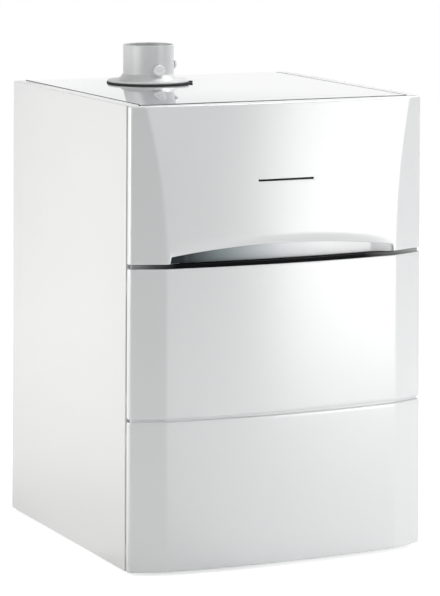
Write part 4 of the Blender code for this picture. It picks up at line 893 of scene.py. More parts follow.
def flap_back():
    columns = []
    for (x, y), thin in zip(FLAP_FOOT, inset(FLAP_FOOT, WALL)):
        low = FLAP_LOW + WALL
        if recess(x):
            floor, z = y + recess(x) + WALL, arch(x) + WALL
            lip = (thin[0], y + curl(x) + WALL, z)
            columns.append([(x, FRONT - RIM, low), (x, floor, low), (x, floor, z), lip])
        else:
            heights = (low, FLAP_LOW + 0.006, FLAP_LOW + ARCH_END + WALL)
            columns.append([(thin[0], FRONT - RIM, low), *[(*thin, z) for z in heights]])
    rows = transposed(columns)
    rows += [row_at(inset(flap_outline(z), WALL), z) for z in BACK_ROWS]
    rows.append(row_at(to_rim(inset(flap_outline(FLAP_HIGH), WALL)), FLAP_HIGH - WALL))
    return rows


FACE_ROWS, FLAP_BACK_ROWS = flap_face(), flap_back()
print("face", len(FACE_ROWS), "rows, back", len(FLAP_BACK_ROWS), "rows, each of", len(FACE_ROWS[0]), "points")

# %% [markdown]
# The flap's shell joins both skins along their edges and leaves the status light's slit open, with walls
# between the skins. Two lugs hang from its top and hold the hinge pins.

# %% Control flap
LUG_X, LUG_Y, LUG_LOW = (0.2701, 0.2731), (-0.2730, -0.2653), 0.8378


def skin(data, rows):
    # Faces between the rows, but for those in the slit, whose corners are returned
    grid = [[data.verts.new(point) for point in row] for row in rows]
    left_out = []
    for one, two in zip(grid, grid[1:]):
        middle = len(one) // 2
        slit_rows = abs(one[middle].co.z - SLIT_LOW) < 1e-4 and abs(two[middle].co.z - SLIT_TOP) < 1e-4
        for i in range(len(one) - 1):
            corners = (one[i], one[i + 1], two[i + 1], two[i])
            if slit_rows and abs(one[i].co.x + one[i + 1].co.x) / 2 < SLIT_LENGTH / 2:
                left_out.append(corners)
            else:
                data.faces.new(corners)
    return grid, left_out


def control_flap():
    data = bmesh.new()
    grid_out, hole_out = skin(data, FACE_ROWS)
    grid_in, hole_in = skin(data, FLAP_BACK_ROWS)
    for end in (0, -1):
        for i in range(len(grid_out[0]) - 1):
            data.faces.new((grid_out[end][i], grid_out[end][i + 1], grid_in[end][i + 1], grid_in[end][i]))
        data.faces.new([row[end] for row in grid_out] + [row[end] for row in reversed(grid_in)])
    # Walls of the slit: below, above, and one at each end
    walls = [(one, two, pair) for one, two in zip(hole_out, hole_in) for pair in ((0, 1), (3, 2))]
    walls += [(hole_out[0], hole_in[0], (0, 3)), (hole_out[-1], hole_in[-1], (1, 2))]
    for one, two, (a, b) in walls:
        data.faces.new((one[a], one[b], two[b], two[a]))
    for side in (-1, 1):
        low, high = sorted(side * x for x in LUG_X)
        block((low, LUG_Y[0], LUG_LOW), (high, LUG_Y[1], FLAP_HIGH - WALL / 2), 0.0008, 2, data)
    piece("control_flap_shell", data, "white_plastic", "control_flap", ["control_flap"], 38)
    print("flap", extent("control_flap_shell"), "mm, slit columns", len(hole_out), len(hole_in))


control_flap()

# %% [markdown]
# A satin insert lines the finger recess. It would be a separate strip, glued or clipped in, because its
# surface differs from the flap's; its colour is a painted reflection, dark at the left and bright at the
# right.
# The black lens of the status light stands a little behind the face, and its flange lies against the flap's
# inside.

# %% Flap inserts
LINER, LINER_PLAY = 0.0004, 0.0002
LENS_PLAY, LENS_FACE, LENS_REAR = 0.0004, 0.0012, 0.0040
FLANGE_WIDER, FLANGE_HALF, FLANGE_FACE, FLANGE_REAR = 0.004, 0.0058, 0.0036, 0.0049


def recess_liner():
    lined = [(x, y + curl(x) + LIP, y + recess(x) - LINER) for x, y in FLAP_FOOT if recess(x)]
    low = FLAP_LOW + LINER_PLAY
    data = strip([
        [(x, deep, low) for x, _, deep in lined],
        [(x, deep, arch(x) - LIP) for x, _, deep in lined],
        [(x, deep - 0.0008, arch(x) - 0.0004) for x, _, deep in lined],
        [(x, front, arch(x) - 0.0004) for x, front, _ in lined],
        [(x, front, arch(x) - 0.0001) for x, front, _ in lined],
        [(x, deep + LINER_PLAY, arch(x) - 0.0001) for x, _, deep in lined],
        [(x, deep + LINER_PLAY, low) for x, _, deep in lined],
    ])
    # The insert's finish carries a painted reflection, dark at the left and bright at the right
    piece("finger_recess_liner", data, "satin_insert_painted_reflection", "control_flap")


def bar_behind_face(reach, face, rear, low, high, data=None):
    # A bar that follows the face's bow, between two depths behind it
    line = [(x, y) for x, y in flap_outline(SLIT_Z) if abs(x) < reach]
    outline = [(x, y + face) for x, y in line] + [(x, y + rear) for x, y in line[::-1]]
    return prism(outline, low, high, "z", data)


def status_window():
    reach = SLIT_LENGTH / 2 - LENS_PLAY
    data = bar_behind_face(reach, LENS_FACE, LENS_REAR, SLIT_LOW + LENS_PLAY, SLIT_TOP - LENS_PLAY)
    low, high = SLIT_Z - FLANGE_HALF, SLIT_Z + FLANGE_HALF
    bar_behind_face(reach + FLANGE_WIDER, FLANGE_FACE, FLANGE_REAR, low, high, data)
    piece("status_light_lens", data, "black_gloss", "control_flap", ["status_light_window"])


recess_liner()
status_window()
print("liner", extent("finger_recess_liner"), "mm, lens", extent("status_light_lens"), "mm")

# %% [markdown]
# The casing's sheets: side panels folded inwards along all edges, and a glossy top cover between them with
# a round hole for the flue. Each is a box with sides left out, its folds rounded and then thickened inwards
# to the sheet's gauge. So the sheet keeps an even thickness round each fold, as bent sheet does.

# %% Casing sheets
FOLD_IN, COVER_HALF = 0.025, HALF - 0.028
COVER_HIGH, COVER_HOLE = 0.016, 0.0535
WAYS = {"-x": -X_AXIS, "+x": X_AXIS, "-y": -Y_AXIS, "-z": -Z_AXIS}


def linked(name, data):
    # A scratch object that holds the mesh data
    item = bpy.data.objects.new(name, bpy.data.meshes.new(name))
    data.to_mesh(item.data)
    data.free()
    bpy.context.scene.collection.objects.link(item)
    return item


def evaluated(item, scratch):
    # The object's mesh after its modifiers, as mesh data; the scratch objects go away
    bpy.context.view_layer.update()
    made = bpy.data.meshes.new_from_object(item.evaluated_get(bpy.context.evaluated_depsgraph_get()))
    data = bmesh.new()
    data.from_mesh(made)
    bpy.data.meshes.remove(made)
    for each in scratch:
        bpy.data.objects.remove(each)
    return data


def folded_sheet(name, low, high, open_sides, radius, material, node, hole=None):
    data = block(low, high)
    data.normal_update()
    gone = [face for face in data.faces if any(face.normal.dot(WAYS[way]) > 0.9 for way in open_sides)]
    bmesh.ops.delete(data, geom=gone, context="FACES")
    rounded(data, radius, 5, [edge for edge in data.edges if len(edge.link_faces) == 2])
    item = linked(name + "_form", data)
    scratch = [item]
    thick = item.modifiers.new("thick", "SOLIDIFY")
    thick.thickness = SHEET
    thick.offset = -1
    thick.use_even_offset = True
    if hole:
        cutter = turned([(0, -0.02), (hole, -0.02), (hole, 0.02), (0, 0.02)], COLLAR, steps=96)
        scratch.append(linked("hole", tidied(cutter)))
        cut = item.modifiers.new("cut", "BOOLEAN")
        cut.operation = "DIFFERENCE"
        cut.object = scratch[-1]
    data = evaluated(item, scratch)
    return piece(name, data, material, "casing", [node], 30)


for side, word in ((-1, "left"), (1, "right")):
    low_x, high_x = sorted((side * HALF, side * (HALF - FOLD_IN)))
    open_side = "+x" if side < 0 else "-x"
    folded_sheet(f"side_panel_{word}_sheet", (low_x, FRONT, BOTTOM), (high_x, REAR, TOP),
                 [open_side], 0.0026, "white_paint", f"side_panel_{word}")
folded_sheet("top_cover_sheet", (-COVER_HALF, FRONT + 0.002, TOP - COVER_HIGH), (COVER_HALF, REAR, TOP),
             ["-z", "-y"], 0.0014, "gloss_paint", "top_cover", hole=COVER_HOLE)
print("side panel", extent("side_panel_left_sheet"), "mm, cover", extent("top_cover_sheet"), "mm")

# %% [markdown]
# Black strips fill the gaps between the side panels' flanges and the top cover, as painted shade in these
# seams.
# The left one stands a little proud, as the photo shows it, and the right one lies lower.

# %% Cover seams' painted shade
# Black strips in the seams as painted shade, where the gaps would be dark
for side, word, rise in ((-1, "left", 0.0008), (1, "right", -0.0012)):
    low, high = sorted((side * (COVER_HALF + 0.0002), side * (HALF - FOLD_IN - 0.0002)))
    data = block((low, FRONT + 0.003, TOP - 0.006), (high, REAR - 0.002, TOP + rise), 0.0006, 2)
    piece(f"cover_seal_{word}", data, "black_rubber", "casing")
    print(word, "seal", round(high - low, 5), "wide")

# %% [markdown]
# The flue collar: a turned and enamelled tube with a soft flare into its flange, and the necks of two test
# ports for probes. Both are turned forms, so each is a profile of (radius, height) points.

# %% Flue collar
COLLAR_BASE, COLLAR_TOP, COLLAR_OUTER, COLLAR_INNER = 0.0028, 0.0755, 0.050, 0.0475
FLANGE, FLANGE_THICK = 0.0805, 0.0035
# Each port's height above the cover and the way it faces
PORTS = {"front": (0.027, FORWARD), "side": (0.037, X_AXIS)}
PORT_NECK = [(0.006, 0), (0.0115, 0), (0.0110, 0.0014), (0.0098, 0.0022), (0.0095, 0.0030), (0.0095, 0.0038),
             (0.006, 0.0038)]


def arc_points(centre, radius, start, end, steps):
    angles = [math.radians(start + (end - start) * i / steps) for i in range(steps + 1)]
    return [(centre[0] + radius * math.cos(angle), centre[1] + radius * math.sin(angle)) for angle in angles]


def flue_collar():
    base, outer = COLLAR_BASE, COLLAR_OUTER
    shoulder = base + FLANGE_THICK
    profile = [(0.0575, base), (FLANGE - 0.0006, base)]
    profile += arc_points((FLANGE - 0.0012, base + 0.0012), 0.0012, -40, 0, 2)
    profile += arc_points((FLANGE - 0.0018, shoulder - 0.0018), 0.0018, 0, 90, 5)
    profile += [(0.0612, shoulder), (0.0598, shoulder + 0.0003), (0.0590, shoulder + 0.0010)]
    profile += [(outer + 0.0006, shoulder + 0.0112), (outer + 0.0001, shoulder + 0.0121)]
    profile += [(outer, shoulder + 0.0130), (outer, 0.030), (outer, COLLAR_TOP - 0.0016)]
    profile += arc_points((outer - 0.00125, COLLAR_TOP - 0.00125), 0.00125, 0, 180, 8)
    profile += [(COLLAR_INNER, 0.030), (COLLAR_INNER, shoulder + 0.011)]
    profile += arc_points((0.0575, base + 0.0115), 0.0100, 180, 260, 8)
    data = turned(profile, COLLAR, steps=128, closed=True)
    for height, way in PORTS.values():
        start = COLLAR + Z_AXIS * height + way * (outer - 0.0013)
        turned(PORT_NECK, start, way, 40, data, closed=True)
    piece("flue_collar_tube", data, "collar_enamel", "casing", ["flue_collar"], 35)


flue_collar()
print("collar", extent("flue_collar_tube"), "mm")

# %% [markdown]
# The caps of the test ports are mouldings with a bar across the face. The gasket is cut from sheet rubber,
# a little wider than the flange, and its tab sticks out at the right.

# %% Port caps and gasket


def port_cap(word, height, way):
    start = COLLAR + Z_AXIS * height + way * 0.0528
    profile = [(0, -0.0014), (0.0055, -0.0014), (0.0056, 0.0004), (0.0097, 0.0004), (0.0097, -0.0014)]
    profile += [(0.0115, -0.0014), (0.0115, 0.0022)]
    profile += arc_points((0.0101, 0.0022), 0.0014, 0, 90, 5)
    profile += [(0.0075, 0.0036), (0.0070, 0.0030), (0, 0.0030)]
    data = turned(profile, start, way, 48)
    # The bar across the cap's face
    bar = block((-0.0058, -0.0009, 0.0026), (0.0058, 0.0009, 0.0038), 0.0004, 2)
    turn = Matrix((Z_AXIS.cross(way), Z_AXIS, way)).transposed().to_4x4()
    bar.transform(Matrix.Translation(start) @ turn)
    merged(data, bar)
    node = f"test_port_cap_{word}"
    piece(node + "_moulding", data, "white_plastic", node, [node], 35)


def gasket():
    low, high = GAP, 0.0025
    profile = [(0.056, low), (0.0817, low), (0.0820, low + 0.0006), (0.0820, high - 0.0008), (0.0814, high)]
    profile += [(0.056, high)]
    data = turned(profile, COLLAR, steps=128, closed=True)
    # The tab that the gasket is pulled by, at its right
    way = Vector((0.93, -0.36, 0)).normalized()
    side = Vector((-way.y, way.x, 0))
    tab = [(0.079, -0.004), (0.0862, -0.0035), (0.0874, 0), (0.0862, 0.0035), (0.079, 0.004)]
    points = [COLLAR + way * a + side * b for a, b in tab]
    prism([(point.x, point.y) for point in points], TOP + low, TOP + high + 0.0008, "z", data)
    piece("collar_gasket_ring", data, "black_rubber", "casing", ["collar_gasket"], 35)


for word, (height, way) in PORTS.items():
    port_cap(word, height, way)
gasket()
print("cap", extent("test_port_cap_front_moulding"), "mm, gasket", extent("collar_gasket_ring"), "mm")

# %% [markdown]
# Repeated forms, such as screws, nuts, ticks and cooling ribs, are placed by one geometry node tree: a point
# for each copy carries its turn, and the tree puts the form on the points. A change of the form or of the
# places then changes all copies.

# %% Copies


def copies_tree():
    tree = bpy.data.node_groups.new("place_copies", "GeometryNodeTree")
    for name, kind in (("Points", "Geometry"), ("Form", "Object"), ("Finish", "Material")):
        tree.interface.new_socket(name, in_out="INPUT", socket_type="NodeSocket" + kind)
    tree.interface.new_socket("Geometry", in_out="OUTPUT", socket_type="NodeSocketGeometry")
    start, end = tree.nodes.new("NodeGroupInput"), tree.nodes.new("NodeGroupOutput")
    form = tree.nodes.new("GeometryNodeObjectInfo")
    turn = tree.nodes.new("GeometryNodeInputNamedAttribute")
    turn.data_type = "FLOAT_VECTOR"
    turn.inputs["Name"].default_value = "turn"
    rotation = tree.nodes.new("FunctionNodeEulerToRotation")
    place = tree.nodes.new("GeometryNodeInstanceOnPoints")
    real = tree.nodes.new("GeometryNodeRealizeInstances")
    coat = tree.nodes.new("GeometryNodeSetMaterial")
    links = (
        (start.outputs["Points"], place.inputs["Points"]),
        (start.outputs["Form"], form.inputs["Object"]),
        (form.outputs["Geometry"], place.inputs["Instance"]),
        (turn.outputs["Attribute"], rotation.inputs["Euler"]),
        (rotation.outputs["Rotation"], place.inputs["Rotation"]),
        (place.outputs["Instances"], real.inputs["Geometry"]),
        (real.outputs["Geometry"], coat.inputs["Geometry"]),
        (start.outputs["Finish"], coat.inputs["Material"]),
        (coat.outputs["Geometry"], end.inputs["Geometry"]),
    )
    for one, two in links:
        tree.links.new(one, two)
    return tree


COPIES = copies_tree()


def copies(name, form, places, material):
    # places holds (point, direction) or (point, direction, spin); the form is drawn along +Z
    bmesh.ops.recalc_face_normals(form, faces=form.faces)
    form_item = linked(name + "_form", form)
    points = bpy.data.meshes.new(name + "_points")
    points.from_pydata([entry[0] for entry in places], [], [])
    turns = points.attributes.new("turn", "FLOAT_VECTOR", "POINT")
    for spot, (_, way, *spin) in zip(turns.data, places):
        turn = Vector(way).to_track_quat("Z", "Y").to_matrix()
        if spin:
            turn = turn @ Matrix.Rotation(spin[0], 3, "Z")
        spot.vector = turn.to_euler()
    item = bpy.data.objects.new(name + "_points", points)
    bpy.context.scene.collection.objects.link(item)
    nodes = item.modifiers.new("copies", "NODES")
    nodes.node_group = COPIES
    given = {"Form": form_item, "Finish": MATERIALS[material]}
    for socket in COPIES.interface.items_tree:
        if socket.in_out == "INPUT" and socket.name in given:
            nodes[socket.identifier] = given[socket.name]
    data = evaluated(item, [form_item, item])
    return piece(name, data, material, "casing", clean=False)


def all_places(xs, ys, zs, way):
    # Places at every combination of the given coordinates
    return [((x, y, z), way) for x in xs for y in ys for z in zs]


def spokes(centre, first, second, radius, angles):
    # Places round an axis, each with its direction outwards
    outs = [first * math.cos(angle) + second * math.sin(angle) for angle in angles]
    return [(centre + out * radius, out) for out in outs]


def bolt_circle(centre, first, second, radius, degrees, way):
    found = spokes(centre, first, second, radius, [math.radians(each) for each in degrees])
    return [(place, way) for place, _ in found]


print("copies tree with", len(COPIES.nodes), "nodes")

# %% [markdown]
# Forms that are used more than once: turned parts, screws, hexagon nuts, blades and ribbed grips. Most are
# turned profiles, as the real ones are.

# %% Forms


def welded(data):
    bmesh.ops.remove_doubles(data, verts=data.verts, dist=1e-6)
    return data


def lathe(profile, steps):
    return welded(turned(profile, (0, 0, 0), Z_AXIS, steps))


def screw_form(radius):
    # A domed head with a hexagon socket, on a thin washer
    r = radius
    profile = [(0, -0.0006), (r * 1.5, -0.0006), (r * 1.5, 0), (r, 0), (r, r * 0.30), (r * 0.86, r * 0.55),
               (r * 0.62, r * 0.66), (r * 0.42, r * 0.66)]
    data = turned(profile, (0, 0, 0), Z_AXIS, 18)
    rim = [v for v in data.verts if v.co.z > r * 0.65 and v.co.xy.length < r * 0.45]
    centre = data.verts.new((0, 0, r * 0.25))
    rim.sort(key=lambda v: math.atan2(v.co.y, v.co.x))
    for i, one in enumerate(rim):
        data.faces.new((one, rim[(i + 1) % len(rim)], centre))
    return welded(data)


def screws(name, radius, places):
    return copies(name, screw_form(radius), places, "steel")


def nut_ring(across, length, bore, chamfer=0.0008):
    # A hexagon nut with a round bore, along +Z
    outer = across / 2 / math.cos(math.pi / 6)
    rows = []
    profile = [(bore, 0), (outer - chamfer, 0), (outer, chamfer), (outer, length - chamfer),
               (outer - chamfer, length), (bore, length), (bore, 0)]
    for radius, height in profile:
        row = []
        for i in range(24):
            angle = math.tau * i / 24
            fold = (angle + math.pi / 6) % (math.pi / 3) - math.pi / 6
            reach = min(radius, radius * math.cos(math.pi / 6) / math.cos(fold)) if radius > bore else bore
            row.append(Vector((reach * math.cos(angle), reach * math.sin(angle), height)))
        rows.append(row)
    return welded(loft(rows, closed=True))


def blades(data, centre, axis, first, second, count, ends, outline):
    # Straight blades round an axis; outline holds (distance from the axis, offset sideways)
    for i in range(count):
        angle = math.tau * i / count
        out = first * math.cos(angle) + second * math.sin(angle)
        side = second * math.cos(angle) - first * math.sin(angle)
        rows = [[centre + axis * end + out * far + side * across for far, across in outline] for end in ends]
        middles = [[sum(row, Vector()) / len(row)] * len(row) for row in rows]
        loft([middles[0], *rows, middles[1]], data, closed=True)


def grip(centre, axis, first, second, profile, ribs, power, steps):
    # A ribbed handwheel; profile holds (radius, height, depth of the grooves)
    rows = []
    for radius, height, depth in profile:
        row = []
        for i in range(steps):
            angle = math.tau * i / steps
            reach = radius - depth * (0.5 + 0.5 * math.cos(angle * ribs)) ** power
            out = first * math.cos(angle) + second * math.sin(angle)
            row.append(centre + axis * height + out * reach)
        rows.append(row)
    return loft(rows, closed=True)


sample = screw_form(0.003)
print("a screw has", len(sample.faces), "faces")
sample.free()

# %% [markdown]
# Flat plates with rounded corners and a softened front edge, with or without a hole, for what is set into
# the fascia.

# %% Plates


def rounded_outline(cx, cz, width, height, radius, steps=5):
    points = []
    for sx, sz, start in ((1, -1, -90), (1, 1, 0), (-1, 1, 90), (-1, -1, 180)):
        x, z = cx + sx * (width / 2 - radius), cz + sz * (height / 2 - radius)
        points += arc_points((x, z), radius, start, start + 90, steps)
    return points


def shrunk(outline, centre, y, amount=0.0):
    # The outline at depth y, with each point moved towards the centre
    row = []
    for x, z in outline:
        dx, dz = x - centre[0], z - centre[1]
        share = amount / math.hypot(dx, dz)
        row.append(Vector((x - dx * share, y, z - dz * share)))
    return row


def plate(outline, front, rear, hole=None, chamfer=0.0006, mesh_data=None):
    # A plate that faces -Y, with a rounded front edge; outlines are (x, z) points of equal count
    centre = [sum(point[k] for point in outline) / len(outline) for k in (0, 1)]
    edge = ((rear, 0), (front + chamfer, 0), (front + chamfer * 0.3, chamfer * 0.3), (front, chamfer))
    rows = [shrunk(outline, centre, y, amount) for y, amount in edge]
    if hole:
        rows += [shrunk(hole, centre, front), shrunk(hole, centre, rear), rows[0]]
        return loft(rows, mesh_data, closed=True)
    middle = [Vector((centre[0], front, centre[1]))] * len(outline)
    back = [Vector((centre[0], rear, centre[1]))] * len(outline)
    return loft([back] + rows + [middle], mesh_data, closed=True)


print("a rounded outline has", len(rounded_outline(0, 0, 0.02, 0.01, 0.002)), "points")

# %% [markdown]
# The controls behind the flap stand on a fascia: a framed display with two keys under it, a ribbed selector
# knob with tick marks, a rocker switch in a frame and a pressure gauge with a dial. The photo doesn't show
# them, so they follow the usual layout of such a panel. First come the fascia's flat details.

# %% Fascia details
DISPLAY_X, KNOB_X, SWITCH_X, GAUGE_X = -0.060, 0.070, -0.190, 0.175
KEYS, KEY_Z = {"left": -0.080, "right": -0.040}, CONTROL_Z - 0.050
# Openings and plates as (width, height, corner radius)
DISPLAY_SIZE, LIT_SIZE = (0.1196, 0.0596, 0.003), (0.104, 0.046, 0.002)
FASCIA_MIDDLE = 0.6905
THIN = 0.0001


def framed(x, z, outer, inner, ahead, data=None):
    # A frame on the fascia, from ahead of its face back to it
    hole = rounded_outline(x, z, *inner)
    return plate(rounded_outline(x, z, *outer), FACE - ahead, FACE - GAP, hole, mesh_data=data)


def flat(x, z, size, ahead, behind, chamfer=0.0006, data=None):
    # A plate in the fascia; its front is ahead of the face and its rear is behind it
    return plate(rounded_outline(x, z, *size), FACE - ahead, FACE + behind, chamfer=chamfer, mesh_data=data)


def on_dial(x, ahead, degrees, radius):
    # A mark's place and turn on a dial, clockwise from 12 o'clock
    angle = math.radians(degrees)
    centre = Vector((x, FACE - ahead, CONTROL_Z))
    return centre + Vector((math.sin(angle), 0, math.cos(angle))) * radius, FORWARD, -angle


def display():
    data = framed(DISPLAY_X, CONTROL_Z, (0.134, 0.074, 0.006), DISPLAY_SIZE, 0.0016)
    piece("display_frame", data, "dark_plastic", "casing")
    data = flat(DISPLAY_X, CONTROL_Z, DISPLAY_SIZE, 0.0004, 0.0038)
    piece("display_glass_plate", data, "display_glass", "casing", ["display_window"])
    data = flat(DISPLAY_X, CONTROL_Z, LIT_SIZE, 0.0006, -0.0003, THIN)
    piece("display_area", data, "display_lit", "casing")
    # Three lines at the left and five bars that rise to the right, with no text
    data = bmesh.new()
    for i, width in enumerate((0.030, 0.044, 0.022)):
        z = CONTROL_Z + 0.013 - i * 0.013
        flat(-0.106 + width / 2, z, (width, 0.0045, 0.001), 0.0008, -0.0005, THIN, data)
    for i in range(5):
        height = 0.006 + 0.005 * i
        z = CONTROL_Z - 0.017 + height / 2
        flat(-0.044 + 0.010 * i, z, (0.006, height, 0.001), 0.0008, -0.0005, THIN, data)
    piece("display_bars", data, "dark_plastic", "casing")


def fascia_frames():
    data = bmesh.new()
    for x in KEYS.values():
        framed(x, KEY_Z, (0.028, 0.016, 0.004), (0.0232, 0.0112, 0.0022), 0.0012, data)
    framed(SWITCH_X, CONTROL_Z, (0.026, 0.038, 0.003), (0.0196, 0.0300, 0.0008), 0.0014, data)
    piece("key_and_switch_frames", data, "dark_plastic", "casing")
    border = framed(0, FASCIA_MIDDLE, (0.530, 0.208, 0.008), (0.526, 0.204, 0.006), 0.0008)
    piece("fascia_border", border, "grey_plastic", "casing")
    places = all_places((-0.266, 0.266), [FACE - 0.0002], (0.590, 0.690, 0.796), FORWARD)
    screws("fascia_screws", 0.0038, places)
    ticks = [on_dial(KNOB_X, 0.0003, -135 + 27 * i, 0.0240) for i in range(11)]
    tick = block((-0.0004, -0.0016, 0), (0.0004, 0.0016, 0.0003), 0.0001, 1)
    copies("knob_ticks", tick, ticks, "white_plastic")


display()
fascia_frames()
print("display", extent("display_frame"), "mm, border", extent("fascia_border"), "mm")

# %% [markdown]
# The parts that a hand turns or presses, each on its own body: the knob with 24 ribs and a white pointer,
# two keys, and a rocker with a mark. They are mouldings, and their grooves are modelled.

# %% Knob, keys and switch
# (radius, height ahead of the fascia, depth of the grooves): the shaft, the ribbed skirt and the dished top
KNOB = [(0, -0.014, 0), (0.0030, -0.014, 0), (0.0030, 0.0010, 0), (0.0190, 0.0010, 0), (0.0190, 0.0024, 0),
        (0.0183, 0.0050, 0.0010), (0.0180, 0.0138, 0.0010), (0.0174, 0.0152, 0.0010), (0.0160, 0.0160, 0),
        (0.0130, 0.0156, 0), (0, 0.0152, 0)]


def selector_knob():
    data = grip(Vector((KNOB_X, FACE, CONTROL_Z)), FORWARD, Z_AXIS, X_AXIS, KNOB, 24, 2, 192)
    piece("selector_knob_grip", data, "dark_plastic", "selector_knob", ["selector_knob"], 30)
    pointer = block((KNOB_X - 0.0008, FACE - 0.0163, CONTROL_Z + 0.0050),
                    (KNOB_X + 0.0008, FACE - 0.0150, CONTROL_Z + 0.0165), 0.0003, 2)
    piece("selector_knob_pointer", pointer, "white_plastic", "selector_knob")


def keys_and_switch():
    for word, x in KEYS.items():
        data = flat(x, KEY_Z, (0.0219, 0.0099, 0.0020), 0.0039, 0.0079, 0.0011)
        piece(f"push_key_{word}_cap", data, "white_plastic", f"push_key_{word}", [f"push_key_{word}"])
    # The rocker from the side, as (distance from the fascia's face, height), with a ridge at its middle
    profile = [(-0.0020 - 0.0030 * (1 - abs(i - 8) / 8), -0.0130 + 0.0260 * i / 16) for i in range(17)]
    profile += [(0.0070, 0.0080), (0.0070, -0.0080)]
    outline = [(FACE + y, CONTROL_Z + z) for y, z in profile]
    data = prism(outline, SWITCH_X - 0.0088, SWITCH_X + 0.0088, "x")
    piece("main_switch_rocker", data, "dark_plastic", "main_switch", ["main_switch"], 30)
    mark = block((SWITCH_X - 0.0003, FACE - 0.0034, CONTROL_Z + 0.0060),
                 (SWITCH_X + 0.0003, FACE - 0.0026, CONTROL_Z + 0.0098), 0.0002, 1)
    piece("main_switch_mark", mark, "white_plastic", "main_switch")


selector_knob()
keys_and_switch()
print("knob", extent("selector_knob_grip"), "mm, rocker", extent("main_switch_rocker"), "mm")

# %% [markdown]
# The pressure gauge: a turned steel case with a raised bezel, a white dial with 31 ticks and a green range,
# and a red needle on a hub. Behind the fascia, the control board carries capacitors, connectors and chips.

# %% Pressure gauge and board
BEZEL = [(0, 0.0028), (0.0222, 0.0028), (0.0222, 0.0060), (0.0232, 0.0064), (0.0246, 0.0060),
         (0.0250, 0.0050), (0.0250, 0.0004), (0.0208, 0.0004), (0.0208, -0.0158), (0, -0.0158)]
NEEDLE = ((-0.0006, -0.0058), (0.0006, -0.0058), (0.0011, -0.001), (0.0002, 0.0168), (-0.0002, 0.0168),
          (-0.0011, -0.001))
GREEN_RANGE = ((0.0150, 0.0030), (0.0150, 0.0032), (0.0164, 0.0032), (0.0164, 0.0030))
BOARD_Y = FACE + 0.024
# Each chip's middle, width and height
CHIPS = ((-0.110, 0.720, 0.020, 0.020), (-0.060, 0.700, 0.012, 0.020), (0.060, 0.740, 0.016, 0.010))


def pressure_gauge():
    centre = (GAUGE_X, FACE, CONTROL_Z)
    data = turned(BEZEL, centre, FORWARD, 96)
    piece("gauge_case", data, "steel", "casing", ["pressure_gauge"])
    data = turned([(0, 0.0028), (0.0221, 0.0028), (0.0221, 0.0030), (0, 0.0030)], centre, FORWARD, 96)
    piece("gauge_dial", data, "white_plastic", "casing")
    # Every fifth tick is larger
    large = [on_dial(GAUGE_X, 0.0030, -135 + 9 * i, 0.0182) for i in range(31) if i % 5 == 0]
    small = [on_dial(GAUGE_X, 0.0030, -135 + 9 * i, 0.0188) for i in range(31) if i % 5]
    for name, half_wide, half_long, places in (("gauge_ticks", 0.00035, 0.0020, large),
                                               ("gauge_small_ticks", 0.0002, 0.0012, small)):
        form = block((-half_wide, -half_long, 0), (half_wide, half_long, 0.00015))
        copies(name, form, places, "dark_plastic")
    data = strip([[on_dial(GAUGE_X, ahead, -60 + 3 * i, radius)[0] for i in range(28)]
                  for radius, ahead in GREEN_RANGE])
    piece("gauge_green_arc", data, "circuit_green", "casing")
    outline = [(GAUGE_X + x, CONTROL_Z + z) for x, z in NEEDLE]
    data = prism(outline, FACE - 0.0042, FACE - 0.0035, "y")
    hub = [(0, 0.0035), (0.0025, 0.0035), (0.0025, 0.0043), (0.0019, 0.0047), (0, 0.0047)]
    turned(hub, centre, FORWARD, 32, data)
    piece("gauge_needle_pointer", data, "red_plastic", "gauge_needle", ["gauge_needle"])


def board_parts():
    spots = ((-0.180, 0.650), (-0.160, 0.650), (-0.180, 0.628), (0.010, 0.640), (0.030, 0.640))
    cans = [((x, BOARD_Y - 0.0001, z), FORWARD) for x, z in spots]
    can = lathe([(0, 0), (0.005, 0), (0.005, 0.0112), (0.0044, 0.0120), (0, 0.0117)], 24)
    copies("board_capacitors", can, cans, "dark_plastic")
    plugs = [((-0.120 + 0.022 * i, BOARD_Y + 0.0017, 0.612), Y_AXIS) for i in range(8)]
    plug = block((-0.008, -0.005, 0), (0.008, 0.005, 0.010), 0.0006, 1)
    copies("board_connectors", plug, plugs, "white_plastic")
    chips = bmesh.new()
    for x, z, wide, high in CHIPS:
        low = (x - wide / 2, BOARD_Y + 0.0016, z - high / 2)
        block(low, (x + wide / 2, BOARD_Y + 0.0034, z + high / 2), 0.0003, 1, chips)
    piece("board_chips", chips, "dark_plastic", "casing")


pressure_gauge()
board_parts()

# %% [markdown]
# Inside the casing. The cast exchanger gets its bolted flanges, a cleaning cover on studs with nuts, and the
# screwed rim of the burner hood on top. These are what a casting of two halves shows from outside.

# %% Heat exchanger
# The exchanger's sides and front, and the middle between its sides, which is the fan's middle too
EX_LEFT, EX_RIGHT, EX_FRONT, EX_MIDDLE = -0.160, 0.050, -0.0284, -0.055
FLANGE_HIGH, FLANGE_LOW_Z, FLANGE_TOP_Z = 0.0074, 0.2006, 0.5520
BOLT_LEFT, BOLT_RIGHT = -0.1642, 0.0539
COVER_FRONT, COVER_HALF_WIDE, HANDLE_HALF = -0.0345, 0.073, 0.030
HOOD_LOW, HOOD_HIGH = 0.5640, 0.5672


def exchanger_parts():
    data = bmesh.new()
    for z in (FLANGE_LOW_Z, FLANGE_TOP_Z):
        top = z + FLANGE_HIGH
        block((EX_LEFT - 0.008, EX_FRONT, z), (EX_LEFT - GAP, 0.1270, top), 0.0015, 2, data)
        block((EX_RIGHT + GAP, EX_FRONT, z), (EX_RIGHT + 0.0075, 0.0300, top), 0.0015, 2, data)
    piece("exchanger_flanges", data, "cast_aluminium", "casing")
    top = [FLANGE_TOP_Z + FLANGE_HIGH]
    places = all_places((BOLT_LEFT, BOLT_RIGHT), (-0.020, 0.020), top, Z_AXIS)
    places += all_places([BOLT_LEFT], (0.070, 0.115), top, Z_AXIS)
    screws("exchanger_bolts", 0.0032, places)


